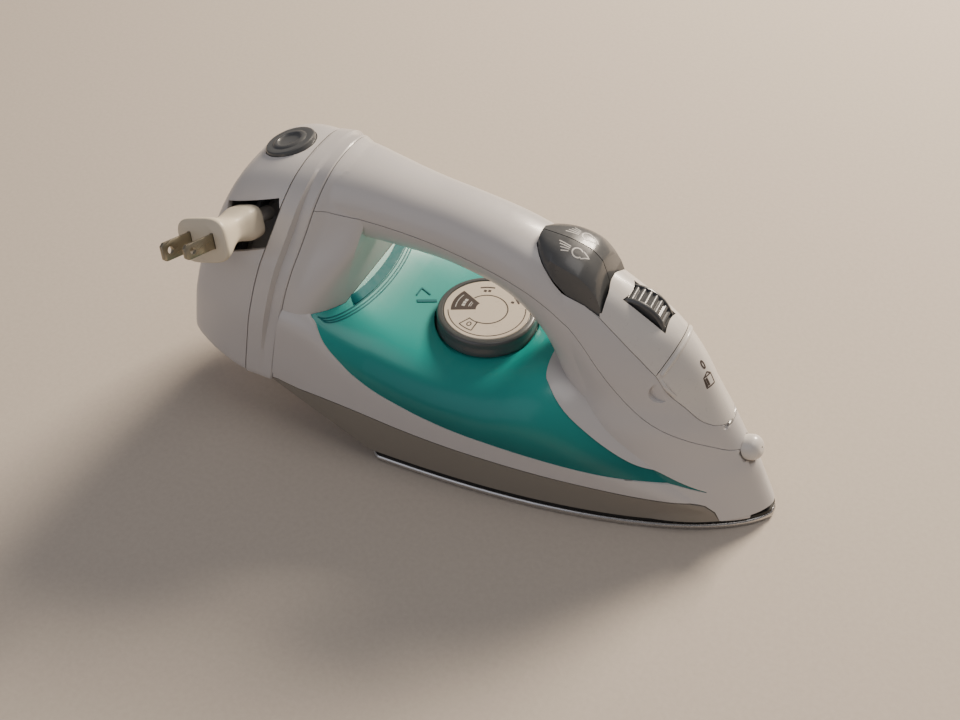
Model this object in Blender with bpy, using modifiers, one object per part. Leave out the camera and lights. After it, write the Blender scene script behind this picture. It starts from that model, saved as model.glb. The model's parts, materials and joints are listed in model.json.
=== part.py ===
"""Steam iron with a cord reel in its heel.

The iron stands on its soleplate: +X towards the tip, +Y left, +Z up.
The origin is under the middle of the iron's length, on the ironing face.
"""

import math

import bmesh
import bpy
import numpy as np
from mathutils import Matrix, Vector

# ---------------------------------------------------------------- driving sizes, in millimetres
MM = 0.001
GAP = 0.3
HALF_GAP = 0.15
WALL = 2.4
FLAT = math.radians(3.2)

TIP_X = 135.5
SOLE_LENGTH = 182.0
SOLE_HALF = 48.5
SOLE_THICK = 3.3
GASKET_LOW = 3.6
GASKET_HIGH = 5.5
SKIRT_LOW = 5.8

SEAM_SLOPE = 0.207
SEAM_Z = 35.0
FRONT_SEAM = -94.4
REAR_SEAM = -108.9
HEEL = -140.0

DIAL_X = -8.0
DIAL_RADIUS = 23.0
DISC_RADIUS = 19.4
DIAL_SEAT = 61.2
DIAL_TOP = 70.0

BUTTON_TRAVEL = 3.0
WHEEL_X = 61.0
WHEEL_Z = 90.3
WHEEL_RADIUS = 14.3
WHEEL_WIDTH = 11.6

REWIND_CENTRE = (-102.4, 0.0, 133.2)
REWIND_NORMAL = (-0.30, 0.0, 0.954)
REWIND_RADIUS = 11.5

REEL_Z = 74.0
REEL_STATION = -118.0
REEL_RADIUS = 33.0
HUB_RADIUS = 11.0
CORD_RADIUS = 3.3

PLUG_ROOT = (-106.8, -38.5, 113.2)
PLUG_OUT = (-0.13, -0.95, 0.28)
PLUG_SIDE = (0.92, -0.13, 0.36)
BLADE_SPACING = 12.7
BLADE_LENGTH = 17.0

COLOURS = {
    "shell_white": ((0.72, 0.69, 0.66), 0.38, 0.0),
    "trim_white": ((0.82, 0.79, 0.74), 0.35, 0.0),
    "tank_teal": ((0.02, 0.45, 0.42), 0.12, 0.0),
    "dark_grey": ((0.07, 0.068, 0.068), 0.3, 0.0),
    "disc_champagne": ((0.66, 0.58, 0.48), 0.3, 0.6),
    "skirt_taupe": ((0.26, 0.24, 0.21), 0.35, 0.1),
    "gasket_black": ((0.01, 0.01, 0.01), 0.7, 0.0),
    "sole_steel": ((0.6, 0.6, 0.6), 0.25, 1.0),
    "cast_aluminium": ((0.5, 0.5, 0.5), 0.55, 1.0),
    "plug_cream": ((0.8, 0.72, 0.58), 0.45, 0.0),
    "blade_brass": ((0.45, 0.4, 0.28), 0.35, 1.0),
    "inner_grey": ((0.35, 0.35, 0.35), 0.6, 0.0),
    "spring_steel": ((0.5, 0.5, 0.5), 0.35, 1.0),
    "cord_white": ((0.75, 0.72, 0.68), 0.5, 0.0),
}

# ---------------------------------------------------------------- scene, collections, materials
for old in list(bpy.data.objects):
    bpy.data.objects.remove(old)

PARTS = bpy.data.collections.new("steam_iron")
CUTTERS = bpy.data.collections.new("cutters")
bpy.context.scene.collection.children.link(PARTS)
bpy.context.scene.collection.children.link(CUTTERS)


def material(name):
    colour, roughness, metallic = COLOURS[name]
    made = bpy.data.materials.get(name)
    if made:
        return made
    made = bpy.data.materials.new(name)
    made.use_nodes = True
    shader = made.node_tree.nodes["Principled BSDF"]
    shader.inputs["Base Color"].default_value = (*colour, 1.0)
    shader.inputs["Roughness"].default_value = roughness
    shader.inputs["Metallic"].default_value = metallic
    return made


def object_from(bm, name):
    """A working solid, kept among the cutters until it is finished as a part."""
    bmesh.ops.recalc_face_normals(bm, faces=bm.faces)
    if bm.calc_volume(signed=True) < 0:
        bmesh.ops.reverse_faces(bm, faces=bm.faces)
    mesh = bpy.data.meshes.new(name)
    bm.to_mesh(mesh)
    bm.free()
    made = bpy.data.objects.new(name, mesh)
    CUTTERS.objects.link(made)
    made.hide_render = True
    made.display_type = "WIRE"
    return made


def bake(made):
    """Turn an object's modifiers into its mesh."""
    bpy.context.view_layer.update()
    evaluated = made.evaluated_get(bpy.context.evaluated_depsgraph_get())
    mesh = bpy.data.meshes.new_from_object(evaluated)
    made.modifiers.clear()
    made.data = mesh
    return made


def clean(made):
    """Triangles, which the next cut needs."""
    bm = bmesh.new()
    bm.from_mesh(made.data)
    bmesh.ops.remove_doubles(bm, verts=bm.verts, dist=0.0000005)
    bmesh.ops.triangulate(bm, faces=bm.faces)
    bm.to_mesh(made.data)
    bm.free()
    return made


def combine(target, other, operation):
    step = target.modifiers.new(operation.lower(), "BOOLEAN")
    step.operation = operation
    step.solver = "EXACT"
    step.object = other
    return clean(bake(target))


def cut(target, *cutters):
    for cutter in cutters:
        combine(target, cutter, "DIFFERENCE")
    return target


def keep(target, region):
    return combine(target, region, "INTERSECT")


def join(target, *others):
    for other in others:
        combine(target, other, "UNION")
    return target


def copy_of(source, name):
    made = source.copy()
    made.data = source.data.copy()
    made.name = name
    CUTTERS.objects.link(made)
    return made


def largest_body(made):
    """Drop the slivers that a cut leaves beside the piece itself."""
    bm = bmesh.new()
    bm.from_mesh(made.data)
    bmesh.ops.remove_doubles(bm, verts=bm.verts, dist=0.00001)
    bmesh.ops.dissolve_degenerate(bm, edges=bm.edges, dist=0.000005)
    left = set(bm.verts)
    bodies = []
    while left:
        found = {left.pop()}
        edge_of_search = set(found)
        while edge_of_search:
            reached = {e.other_vert(v) for v in edge_of_search for e in v.link_edges}
            edge_of_search = reached & left
            left -= edge_of_search
            found |= edge_of_search
        bodies.append(found)
    bodies.sort(key=len)
    loose = [v for body in bodies[:-1] for v in body]
    bmesh.ops.delete(bm, geom=loose, context="VERTS")
    bmesh.ops.dissolve_limit(bm, angle_limit=FLAT, verts=bm.verts, edges=bm.edges)
    bmesh.ops.triangulate(bm, faces=bm.faces)
    bm.to_mesh(made.data)
    bm.free()
    return made


def finish(made, name, colour):
    """Make a working solid into a named part."""
    largest_body(made)
    made.name = name
    made.data.name = name
    made.data.materials.clear()
    made.data.materials.append(material(colour))
    made.data.shade_smooth()
    made.data.set_sharp_from_angle(angle=math.radians(35))
    CUTTERS.objects.unlink(made)
    PARTS.objects.link(made)
    made.hide_render = False
    made.display_type = "TEXTURED"
    return made


# ---------------------------------------------------------------- shape helpers, in millimetres
def through(*points):
    """A smooth curve value = f(position) through points, without overshoot."""
    xs = np.array([p[0] for p in points], float)
    ys = np.array([p[1] for p in points], float)
    rise = np.diff(ys) / np.diff(xs)
    slope = np.zeros(len(xs))
    slope[0] = rise[0]
    slope[-1] = rise[-1]
    for i in range(1, len(xs) - 1):
        if rise[i - 1] * rise[i] > 0:
            slope[i] = 2 * rise[i - 1] * rise[i] / (rise[i - 1] + rise[i])

    def value(x):
        x = min(max(x, xs[0]), xs[-1])
        i = min(max(int(np.searchsorted(xs, x)) - 1, 0), len(xs) - 2)
        step = xs[i + 1] - xs[i]
        t = (x - xs[i]) / step
        a = (1 + 2 * t) * (1 - t) ** 2 * ys[i] + t * (1 - t) ** 2 * step * slope[i]
        b = t * t * (3 - 2 * t) * ys[i + 1] + t * t * (t - 1) * step * slope[i + 1]
        return a + b

    return value


def loft(name, rings):
    """A closed solid through rings that have the same number of points."""
    bm = bmesh.new()
    rows = [[bm.verts.new(Vector(p) * MM) for p in ring] for ring in rings]
    count = len(rings[0])
    for row, after in zip(rows, rows[1:]):
        for i in range(count):
            j = (i + 1) % count
            bm.faces.new((row[i], row[j], after[j], after[i]))
    bm.faces.new(rows[0][::-1])
    bm.faces.new(rows[-1])
    return object_from(bm, name)


def prism(name, outline, low=-90.0, high=90.0, plane="XZ"):
    """A flat outline pushed along the axis that it doesn't have."""
    bm = bmesh.new()
    if plane == "XZ":
        points = [(a, low, b) for a, b in outline]
        push = Vector((0, high - low, 0)) * MM
    else:
        points = [(a, b, low) for a, b in outline]
        push = Vector((0, 0, high - low)) * MM
    face = bm.faces.new([bm.verts.new(Vector(p) * MM) for p in points])
    swept = bmesh.ops.extrude_face_region(bm, geom=[face])
    moved = [g for g in swept["geom"] if isinstance(g, bmesh.types.BMVert)]
    bmesh.ops.translate(bm, verts=moved, vec=push)
    return object_from(bm, name)


def box(name, low, high):
    bm = bmesh.new()
    bmesh.ops.create_cube(bm, size=1.0)
    size = [b - a for a, b in zip(low, high)]
    centre = [(a + b) / 2 for a, b in zip(low, high)]
    bmesh.ops.scale(bm, verts=bm.verts, vec=Vector(size) * MM)
    bmesh.ops.translate(bm, verts=bm.verts, vec=Vector(centre) * MM)
    return object_from(bm, name)


def along(centre, axis):
    """The place and turn of a piece whose own +Z lies along an axis."""
    turn = Vector((0, 0, 1)).rotation_difference(Vector(axis).normalized())
    return Matrix.Translation(Vector(centre) * MM) @ turn.to_matrix().to_4x4()


def rod(name, centre, axis, radius, low, high, sides=20, radius_end=None):
    """A round bar from low to high along an axis through a centre."""
    end = radius if radius_end is None else radius_end
    bm = bmesh.new()
    bmesh.ops.create_cone(
        bm,
        cap_ends=True,
        segments=sides,
        radius1=radius * MM,
        radius2=end * MM,
        depth=(high - low) * MM,
    )
    bmesh.ops.translate(bm, verts=bm.verts, vec=Vector((0, 0, (low + high) / 2 * MM)))
    bm.transform(along(centre, axis))
    return object_from(bm, name)


def turned(name, profile, centre=(0, 0, 0), axis=(0, 0, 1), sides=28):
    """A closed profile of (radius, height) points turned round an axis."""
    mesh = bpy.data.meshes.new(name)
    points = [Vector((r, 0, h)) * MM for r, h in profile]
    edges = [(i, (i + 1) % len(points)) for i in range(len(points))]
    if profile[0][0] == 0 and profile[-1][0] == 0:
        edges = edges[:-1]
    mesh.from_pydata(points, edges, [])
    made = bpy.data.objects.new(name, mesh)
    CUTTERS.objects.link(made)
    made.hide_render = True
    made.display_type = "WIRE"
    spin = made.modifiers.new("spin", "SCREW")
    spin.steps = sides
    spin.render_steps = sides
    spin.use_merge_vertices = True
    spin.merge_threshold = 0.00001
    bake(made)
    bm = bmesh.new()
    bm.from_mesh(made.data)
    bmesh.ops.remove_doubles(bm, verts=bm.verts, dist=0.000005)
    bmesh.ops.recalc_face_normals(bm, faces=bm.faces)
    bm.transform(along(centre, axis))
    bm.to_mesh(made.data)
    bm.free()
    return made


def tube(name, points, radius):
    """A round wire along points, with closed ends."""
    data = bpy.data.curves.new(name, "CURVE")
    data.dimensions = "3D"
    data.bevel_depth = radius * MM
    data.bevel_resolution = 2
    data.use_fill_caps = True
    line = data.splines.new("POLY")
    line.points.add(len(points) - 1)
    for spot, p in zip(line.points, points):
        spot.co = (*(Vector(p) * MM), 1.0)
    wire = bpy.data.objects.new(name, data)
    CUTTERS.objects.link(wire)
    bpy.context.view_layer.update()
    evaluated = wire.evaluated_get(bpy.context.evaluated_depsgraph_get())
    bm = bmesh.new()
    bm.from_mesh(bpy.data.meshes.new_from_object(evaluated))
    bmesh.ops.remove_doubles(bm, verts=bm.verts, dist=0.00001)
    bpy.data.objects.remove(wire)
    return object_from(bm, name)


def coil(name, centre, axis, radius, height, turns, wire, per_turn=8):
    """A coil spring that starts at a centre and climbs along an axis."""
    place = along(centre, axis)
    points = []
    for i in range(int(turns * per_turn) + 1):
        angle = 2 * math.pi * i / per_turn
        climb = wire + (height - 2 * wire) * i / (turns * per_turn)
        local = Vector((radius * math.cos(angle), radius * math.sin(angle), climb)) * MM
        points.append(place @ local / MM)
    return tube(name, points, wire)


# ---------------------------------------------------------------- the iron's outer forms
hull_top = through(
    (-100, 84), (-73, 80), (-60, 73.5), (-40, 67), (-20, 62.8), (-8, 61.6), (10, 62), (22, 66),
    (32, 68), (42, 66.5), (52, 62), (65, 55), (80, 45), (95, 33), (108, 22), (118, 13),
    (126, 9),
)
hull_power = through((-100, 8.0), (-73, 7.0), (-55, 5.2), (-30, 4.0), (20, 3.1), (65, 2.3), (132, 2.0))
hull_extra = through((-100, 2.6), (-50, 1.8), (20, 0.4), (60, 0.0))


def sole_half(x):
    """Half the soleplate's width, from the law of its pointed outline."""
    run = min(max((TIP_X - x) / (SOLE_LENGTH + 3), 0.0), 1.0)
    return SOLE_HALF * (1 - (1 - run) ** 2.4) ** 0.62


def hull_low(x):
    """The underside rises behind the soleplate."""
    return SKIRT_LOW + max(0.0, -46.6 - x) * 0.532


def hull_ring(x, inset):
    half = max(sole_half(x) + hull_extra(x) - inset, 0.6)
    foot = max(min(sole_half(x), half) - 0.4 * min(inset, 1.0), 0.5)
    low = hull_low(x)
    if inset > 0:
        low = low + inset if x < -47 else SKIRT_LOW - 2.0
    top = max(hull_top(x) - inset, low + 1.0)
    shoulder = low + 0.42 * (top - low)
    power = 2 / hull_power(x)
    rise = shoulder - low
    side = [(0.0, low), (foot * 0.93, low), (foot, low + min(1.6, 0.2 * rise)), (half, low + 0.5 * rise)]
    for k in range(9):
        a = math.radians(90 * k / 8)
        across = half * abs(math.cos(a)) ** power
        side.append((across, shoulder + (top - shoulder) * math.sin(a) ** power))
    side[-1] = (0.0, top)
    ring = [(x, -y, z) for y, z in side]
    return ring + [(x, y, z) for y, z in side[-2:0:-1]]


def hull(name, inset):
    stations = [-104, -88, -72, -60, -48, -46.4, -30, -12, 6, 22, 34, 46, 58, 70, 82, 94, 104, 113, 121]
    stations.append(126.5 - 0.6 * inset)
    return loft(name, [hull_ring(x, inset) for x in stations])


nose_back = through((8, 42), (35, 37), (50, 35), (65, 32), (76, 27), (90, 16), (100, 8), (118, 4))
nose_front = through(
    (8, 133.6), (20.6, 127.6), (29, 123.8), (37, 118.5), (47, 112.5), (57, 106.4), (66, 101), (76, 95.2),
    (85, 89.2), (91.5, 84.4), (99, 73.5), (106, 61), (111, 50), (114.5, 41), (118, 24),
)
nose_half = through(
    (8, 34), (20, 32), (35, 29.5), (50, 28.5), (65, 24.5), (76, 23.2), (90, 20.5), (99, 18.6),
    (106, 16.4), (111, 13), (114.5, 9.5), (118, 4),
)
nose_round = through((8, 1.62), (40, 1.7), (70, 1.85), (90, 2.0), (118, 2.1))


def nose_ring(z, inset):
    back = nose_back(z) + inset
    front = nose_front(z) - inset * 1.1
    half = max(nose_half(z) - inset, 0.8)
    middle = back + 0.38 * (front - back)
    sharp = 2 / nose_round(z)
    side = []
    for k in range(8):
        a = math.radians(90 * k / 8)
        side.append((middle + (front - middle) * math.cos(a) ** sharp, half * math.sin(a) ** sharp))
    for k in range(7):
        a = math.radians(90 + 90 * k / 6)
        side.append((middle + (middle - back) * math.cos(a), half * math.sin(a)))
    side[-1] = (back, 0.0)
    ring = [(x, -y, z) for x, y in side]
    return ring + [(x, y, z) for x, y in side[-2:0:-1]]


def nose(name, inset):
    levels = [8, 16, 26, 36, 46, 56, 66, 76, 86, 92.5, 98, 103, 107.5, 111.5, 115, 118]
    levels[-1] = 118 - inset
    return loft(name, [nose_ring(z, inset) for z in levels])


# Stations of the handle: centre x and z, half depth in the side view, half width.
HANDLE_PATH = (
    (-84, 118.6, 17.8, 24), (-70, 118.6, 17.7, 22.5), (-58, 117.9, 17.0, 20.4), (-46, 116.8, 16.1, 19.0),
    (-34, 115.8, 15.2, 18.1), (-21, 114.8, 14.7, 17.6), (-7, 112.7, 14.6, 17.8),
    (6, 109.6, 14.9, 18.2), (19, 104.0, 15.6, 19.0), (30.5, 95.0, 15.6, 20.2),
    (39.5, 83.0, 15.6, 21.2), (46.5, 69.0, 15.6, 22.5), (52.0, 54.0, 15.6, 24.0),
)


def handle(name, inset):
    rings = []
    last = len(HANDLE_PATH) - 1
    for i, (x, z, deep, wide) in enumerate(HANDLE_PATH):
        before = HANDLE_PATH[max(i - 1, 0)]
        after = HANDLE_PATH[min(i + 1, last)]
        run = Vector((after[0] - before[0], after[1] - before[1])).normalized()
        ring = []
        for k in range(18):
            a = 2 * math.pi * k / 18
            c = math.cos(a)
            s = math.sin(a)
            across = (wide - inset) * math.copysign(abs(c) ** 0.9, c)
            lift = (deep - inset) * math.copysign(abs(s) ** 0.9, s)
            ring.append((x - run.y * lift, across, z + run.x * lift))
        rings.append(ring)
    return loft(name, rings)


# Half width of the two seams' sections, over their height from 0 at the bottom to 1 at the top.
FRONT_ARCH = through(
    (0, 43), (0.015, 47.2), (0.045, 50), (0.23, 49.6), (0.38, 48), (0.525, 45.3), (0.63, 41), (0.69, 36.8),
    (0.77, 31.6), (0.865, 26.2), (0.93, 20.5), (0.978, 13.5), (0.995, 7), (1, 2),
)
REAR_ARCH = through(
    (0, 43), (0.015, 47.2), (0.045, 49.8), (0.12, 50.3), (0.36, 50.6), (0.5, 48.8), (0.64, 44.8), (0.72, 39.8),
    (0.795, 34.5), (0.885, 28.3), (0.955, 20.5), (0.982, 14.5), (0.995, 9), (1, 3),
)
SECTION_STEPS = (0, 0.015, 0.045, 0.2, 0.36, 0.5, 0.6, 0.69, 0.78, 0.865, 0.93, 0.975, 0.994, 1)


def seam_x(station, z):
    """Where a plane parallel to the ring's seams stands at a height."""
    return station + SEAM_SLOPE * (z - SEAM_Z)


def heel_ring(station, low, high, scale_low, scale_high, inset, arch=None):
    arch = arch or (FRONT_ARCH if station > -100 else REAR_ARCH)
    side = []
    for t in SECTION_STEPS:
        z = low + inset + (high - low - 2 * inset) * t
        blend = min(max((t - 0.4) / 0.4, 0.0), 1.0)
        blend = blend * blend * (3 - 2 * blend)
        scale = scale_low + (scale_high - scale_low) * blend
        side.append((max(arch(t) * scale - inset, 1.0), z))
    ring = [(seam_x(station, z), -y, z) for y, z in side]
    return ring + [(seam_x(station, z), y, z) for y, z in reversed(side)]


# Stations of the post between the ring and the handle: plane, bottom, top, lower and upper width.
POST = (
    (-99, 31, 137.6, 1.0, 1.0), (-94.4, 31, 137.4, 1.0, 1.0), (-90, 32, 136.6, 0.99, 0.90),
    (-86, 36, 135.7, 0.96, 0.84), (-82, 40, 135.0, 0.90, 0.79), (-78, 44, 134.2, 0.79, 0.75),
    (-75, 47, 133.5, 0.67, 0.71), (-73, 50, 133.0, 0.56, 0.66),
)
# Stations of the heel behind the ring, the same way.
HEEL_BODY = (
    (-108.9, 31.0, 135.0, 1.0, 1.0), (-114, 32.5, 134.8, 1.0, 1.02), (-120, 35, 133.9, 0.995, 1.03),
    (-126, 38.0, 131.9, 0.985, 1.03), (-131, 41, 129.3, 0.97, 1.02), (-135.5, 44, 125.4, 0.95, 1.0),
    (-138.6, 47, 119.8, 0.925, 0.96), (HEEL, 49.5, 113.0, 0.89, 0.92),
)


def post(name, inset):
    rows = [(s - (inset if s == POST[-1][0] else 0), *rest) for s, *rest in POST]
    return loft(name, [heel_ring(*row, inset, FRONT_ARCH) for row in rows])


def seam_slab(name, low, high):
    """The space between two planes parallel to the ring's seams."""
    a = (seam_x(low, -20), -20)
    b = (seam_x(high, -20), -20)
    c = (seam_x(high, 170), 170)
    d = (seam_x(low, 170), 170)
    return prism(name, [a, b, c, d])


# ---------------------------------------------------------------- outlines in the side view
SKIRT_SEAM = (
    (-110, 39.5), (-94, 36.2), (-71, 34.7), (-50, 32.7), (-28, 29.8), (-8, 27.6), (15, 25.8), (38, 24.1),
    (60, 22.4), (81, 20.3), (94, 18.9), (102, 18), (108, 16), (112.5, 12.4), (115.5, 7),
)
WINDOW_LOW = (
    (-74.5, 82), (-74, 78.5), (-69.6, 75), (-64, 67.5), (-57.7, 61), (-50.5, 54.8), (-41, 49.2),
    (-27.5, 44.4), (-13, 40.5), (1, 38), (15, 36.4), (37.5, 33.9), (59.5, 31.5), (80, 29), (92, 26.8), (101.5, 23.6),
)
WINDOW_HIGH = (
    (101.8, 24.4), (95, 27.8), (87, 31.8), (75.5, 37.3), (63, 44.4), (51.5, 52), (42.3, 58.7),
    (35, 63.8), (30.5, 66.2), (27.4, 69.5), (26, 74), (25.5, 80),
)
PARTING = (
    (-130, 131), (-78, 122.3), (-66, 119.9), (-44, 117.5), (-28, 115.4), (-12, 112.7), (2, 109.7),
    (16, 105.8), (27.6, 100.8), (37, 94.5), (44.5, 88), (52, 80), (60, 71.8), (67, 65.2), (74.5, 59.6),
    (83.5, 54.6), (94, 49.8), (104, 45.2), (113, 40.4), (120, 38.2), (140, 38.2),
)
COVER_SIDE = ((50.4, 100.4), (60.4, 93.2), (69.9, 85.7), (77.5, 79))
DOOR_SIDE = ((77.5, 79), (84.2, 70.5), (91, 64.3), (97.7, 58), (103.6, 54))
DOOR_PLANE = ((77.5, 79), (90.2, 106))
BUTTON_EDGE = ((18.2, 126.5), (19.6, 123.6), (23.6, 119.6), (30, 114.5), (37, 108.6), (44, 103.6), (50.2, 100))
BUTTON_FRONT = ((50.2, 100), (48.4, 108), (46.6, 113), (44.6, 118), (42.5, 128))


def shifted(outline, dx, dz):
    return [(x + dx, z + dz) for x, z in outline]


def outer_body(inset, name):
    """Hull, nose, handle and post as one solid."""
    return join(hull(name, inset), nose("nose_" + name, inset), handle("handle_" + name, inset), post("post_" + name, inset))


def wheel_slot(name, grow):
    return rod(name, (WHEEL_X, 0, WHEEL_Z), (0, 1, 0), WHEEL_RADIUS + grow, -WHEEL_WIDTH / 2 - grow, WHEEL_WIDTH / 2 + grow, 28)


def saddle(name, grow, drop):
    """The form of the two buttons together: a ridged saddle over the handle's front end."""
    ridge = through((17, 124.9), (28, 124.2), (38.7, 121.6), (44, 117.6), (49, 111), (54, 104))
    half = through((17.5, 6), (20, 9.5), (24, 12.4), (30, 14.6), (37, 15.2), (44, 15.0), (54, 14.2))
    skirt_low = through((16, 118), (23, 114.5), (30, 109.5), (37, 104), (44, 98.5), (54, 91))
    rings = []
    for x in (17.8 - grow, 20, 23.5, 28, 33, 38, 42, 46, 50.5 + grow):
        top = ridge(x) + grow
        wide = half(x) + grow
        brow = top - 5.5
        low = min(skirt_low(x), brow - 4) - drop
        side = [(wide, low), (wide, brow - 3), (wide * 0.94, brow + 1.2), (wide * 0.72, top - 1.7), (wide * 0.4, top - 0.4)]
        ring = [(x, -y, z) for y, z in side] + [(x, 0, top)] + [(x, y, z) for y, z in reversed(side)]
        rings.append(ring)
    return loft(name, rings)


# ---------------------------------------------------------------- casings
def build_casings():
    body_space = seam_slab("body_space", FRONT_SEAM + HALF_GAP, 260)
    below_parting = prism("below_parting", [(-130, -20), *shifted(PARTING, 0, -HALF_GAP), (140, -20)])
    above_parting = prism("above_parting", [*shifted(PARTING, 0, HALF_GAP), (140, 190), (-130, 190)])
    above_skirt = prism("above_skirt", [*shifted(SKIRT_SEAM, 0, HALF_GAP), (115.6, 2), (150, 2), (150, 190), (-110, 190)])
    below_skirt = prism("below_skirt", [(-110, -8), *shifted(SKIRT_SEAM, -0.2, -HALF_GAP), (115, -8)])
    window = prism("window", [*WINDOW_LOW, *WINDOW_HIGH, (24, 86), (-70, 86)])
    pane = prism("pane", [*shifted(WINDOW_LOW, 0, GAP), *shifted(WINDOW_HIGH, -GAP, -GAP), (24, 85.6), (-70, 85.6)])

    inside = outer_body(WALL, "inside")
    open_hull = cut(hull("open_hull", 0.0), window)
    rest = join(nose("n", 0.0), handle("h", 0.0), post("p", 0.0))
    shell = join(open_hull, rest)
    cut(shell, inside)
    keep(shell, body_space)

    skirt = keep(copy_of(shell, "skirt_form"), below_skirt)
    finish(skirt, "skirt", "skirt_taupe")
    lower = keep(copy_of(shell, "lower_form"), above_skirt)
    keep(lower, below_parting)
    upper = keep(copy_of(shell, "upper_form"), above_parting)

    saddle_room = saddle("saddle_room", 0.35, 9.0)
    button_opening = prism("button_opening", [*BUTTON_EDGE, *BUTTON_FRONT[1:], (16.8, 135)])
    cover_space = [*COVER_SIDE, *DOOR_PLANE[1:], (60, 140), *BUTTON_FRONT[::-1][:-1]]
    door_space = [*DOOR_SIDE, (108.6, 52.0), (114, 51.6), (120, 107), DOOR_PLANE[1]]
    cover_cut = prism("cover_cut", cover_space)
    door_cut = prism("door_cut", door_space)

    nose_cover = keep(copy_of(upper, "cover_form"), cover_cut)
    door = keep(copy_of(upper, "door_form"), door_cut)
    cut(upper, saddle_room, button_opening)
    cover_margin = prism("cover_margin", grown(cover_space, GAP))
    door_margin = prism("door_margin", grown(door_space, GAP))
    cut(upper, cover_margin, door_margin, rod("hinge_gap", HINGE, (0, 1, 0), 2.6, -12, 12, 24))
    cut(door, rod("pin_groove", HINGE, (0, 1, 0), 1.1, -12, 12, 16))
    cut(nose_cover, wheel_slot("wheel_slot", 0.7), door_margin, saddle_room)
    nozzle_hole = rod("nozzle_hole", NOZZLE, NOZZLE_AXIS, 6.2, -16, 10, 24)
    cut(lower, nozzle_hole)
    cut(upper, nozzle_hole)
    finish(lower, "lower_housing", "shell_white")
    finish(upper, "handle_cover", "shell_white")
    finish(nose_cover, "nose_cover", "trim_white")
    finish(door, "fill_door", "trim_white")
    build_buttons()
    build_tank(pane)


HINGE = (108.3, 0, 51.6)
NOZZLE = (118.5, 0, 37.0)
NOZZLE_AXIS = (0.92, 0, 0.39)


def grown(outline, by):
    """An outline in the side view pushed outwards by a margin."""
    points = [Vector(p) for p in outline]
    area = sum(a.x * b.y - b.x * a.y for a, b in zip(points, points[1:] + points[:1]))
    turn = 1 if area > 0 else -1
    out = []
    for i, p in enumerate(points):
        before = (p - points[i - 1]).normalized()
        after = (points[(i + 1) % len(points)] - p).normalized()
        normal = Vector((before.y + after.y, -before.x - after.x)) * turn
        if normal.length < 0.1:
            normal = Vector((before.y, -before.x)) * turn
        normal.normalize()
        lean = max(normal.dot(Vector((before.y, -before.x)) * turn), 0.5)
        out.append(tuple(p + normal * by / lean))
    return out


def build_buttons():
    edge = prism("button_edge", [(14, 135), (14, 121.5), (23, 115.6), (37, 105.2), (50, 95), (51, 100.5), *shifted(BUTTON_FRONT[1:], -0.3, 0)])
    whole = keep(saddle("whole_saddle", 0.0, 0.0), edge)
    hollow = saddle("saddle_hollow", -1.8, 8.0)
    cut(whole, hollow)
    for lift in (0.0, BUTTON_TRAVEL + 0.2):
        room = rod("wheel_room", (WHEEL_X, 0, WHEEL_Z + lift), (0, 1, 0), WHEEL_RADIUS + 1.0, -7.0, 7.0, 28)
        cut(whole, room)
    for side, name in ((-1, "spray_button"), (1, "burst_button")):
        half = copy_of(whole, name + "_form")
        near, far = sorted((side * 0.25, side * 40))
        keep(half, box(name + "_space", (0, near, 60), (80, far, 150)))
        finish(half, name, "dark_grey")


def sole_outline(inset, rear):
    """The pointed outline of the soleplate, pushed inwards, with rounded rear corners."""
    front = TIP_X - inset
    while sole_half(front - 0.5) < inset:
        front -= 0.5
    side = [(front, 0.0)]
    for k in range(1, 15):
        x = front - (front - rear - 5) * (k / 14) ** 1.7
        side.append((x, max(sole_half(x) - inset, 0.05 * k)))
    wide = side[-1][1]
    side += [(rear + 1.5, wide - 1.5), (rear, wide - 5.5)]
    return [(x, -y) for x, y in side] + [(x, y) for x, y in side[:0:-1]]


def build_tank(pane):
    """Clear water tank: a vessel inside the housing with its sides flush in the windows."""
    vessel_outline = [(-63.5, 74), (-67, 66), (-67, 56), (-60, 42), (-40, 34), (0, 27), (60, 23.5), (94, 22.5), (94, 60), (60, 80), (30, 84), (-60, 84)]
    vessel = keep(hull("vessel", WALL + 0.8), prism("vessel_space", vessel_outline))
    flush = keep(hull("flush", GAP), pane)
    cut(flush, nose("flush_nose", -GAP), post("flush_post", -GAP), handle("flush_handle", -GAP))
    cut(vessel, post("vessel_post", -GAP))
    tank = join(flush, vessel)
    room = keep(hull("room", WALL + 2.2), prism("room_space", [(-58, 70), (-61, 58), (-56, 46), (-38, 37), (0, 30), (60, 26), (90, 25), (90, 60), (60, 80), (30, 82), (-58, 82)]))
    cut(room, post("room_post", 2.0))
    well = rod("well", (DIAL_X, 0, 0), (0, 0, 1), 7.0, 0, 90)
    cut(room, well)
    cut(tank, room)
    seat = rod("seat", (DIAL_X, 0, 0), (0, 0, 1), DIAL_RADIUS + 0.8, DIAL_SEAT - 0.4, 90, 36)
    bore = rod("bore", (DIAL_X, 0, 0), (0, 0, 1), 4.4, 0, 90)
    stem_hole = rod("stem_hole", (57, 0, 0), (0, 0, 1), 2.6, 0, 90, 14)
    inlet = rod("inlet", (86, 0, 0), (0, 0, 1), 4.4, 33, 90, 16)
    cut(tank, seat, bore, stem_hole, inlet)
    finish(tank, "water_tank", "tank_teal")


# ---------------------------------------------------------------- heel, ring, reel and plug
AXIS = Vector((1, 0, -SEAM_SLOPE)).normalized()
STEP = AXIS.x


def reel_spot():
    """The reel's middle, from which distances along its axis are counted."""
    return Vector((seam_x(REEL_STATION, REEL_Z), 0, REEL_Z))


def on_reel(low, high):
    """Distances along the reel's axis from its spot, for two seam stations."""
    return (low - REEL_STATION) * STEP, (high - REEL_STATION) * STEP


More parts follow.
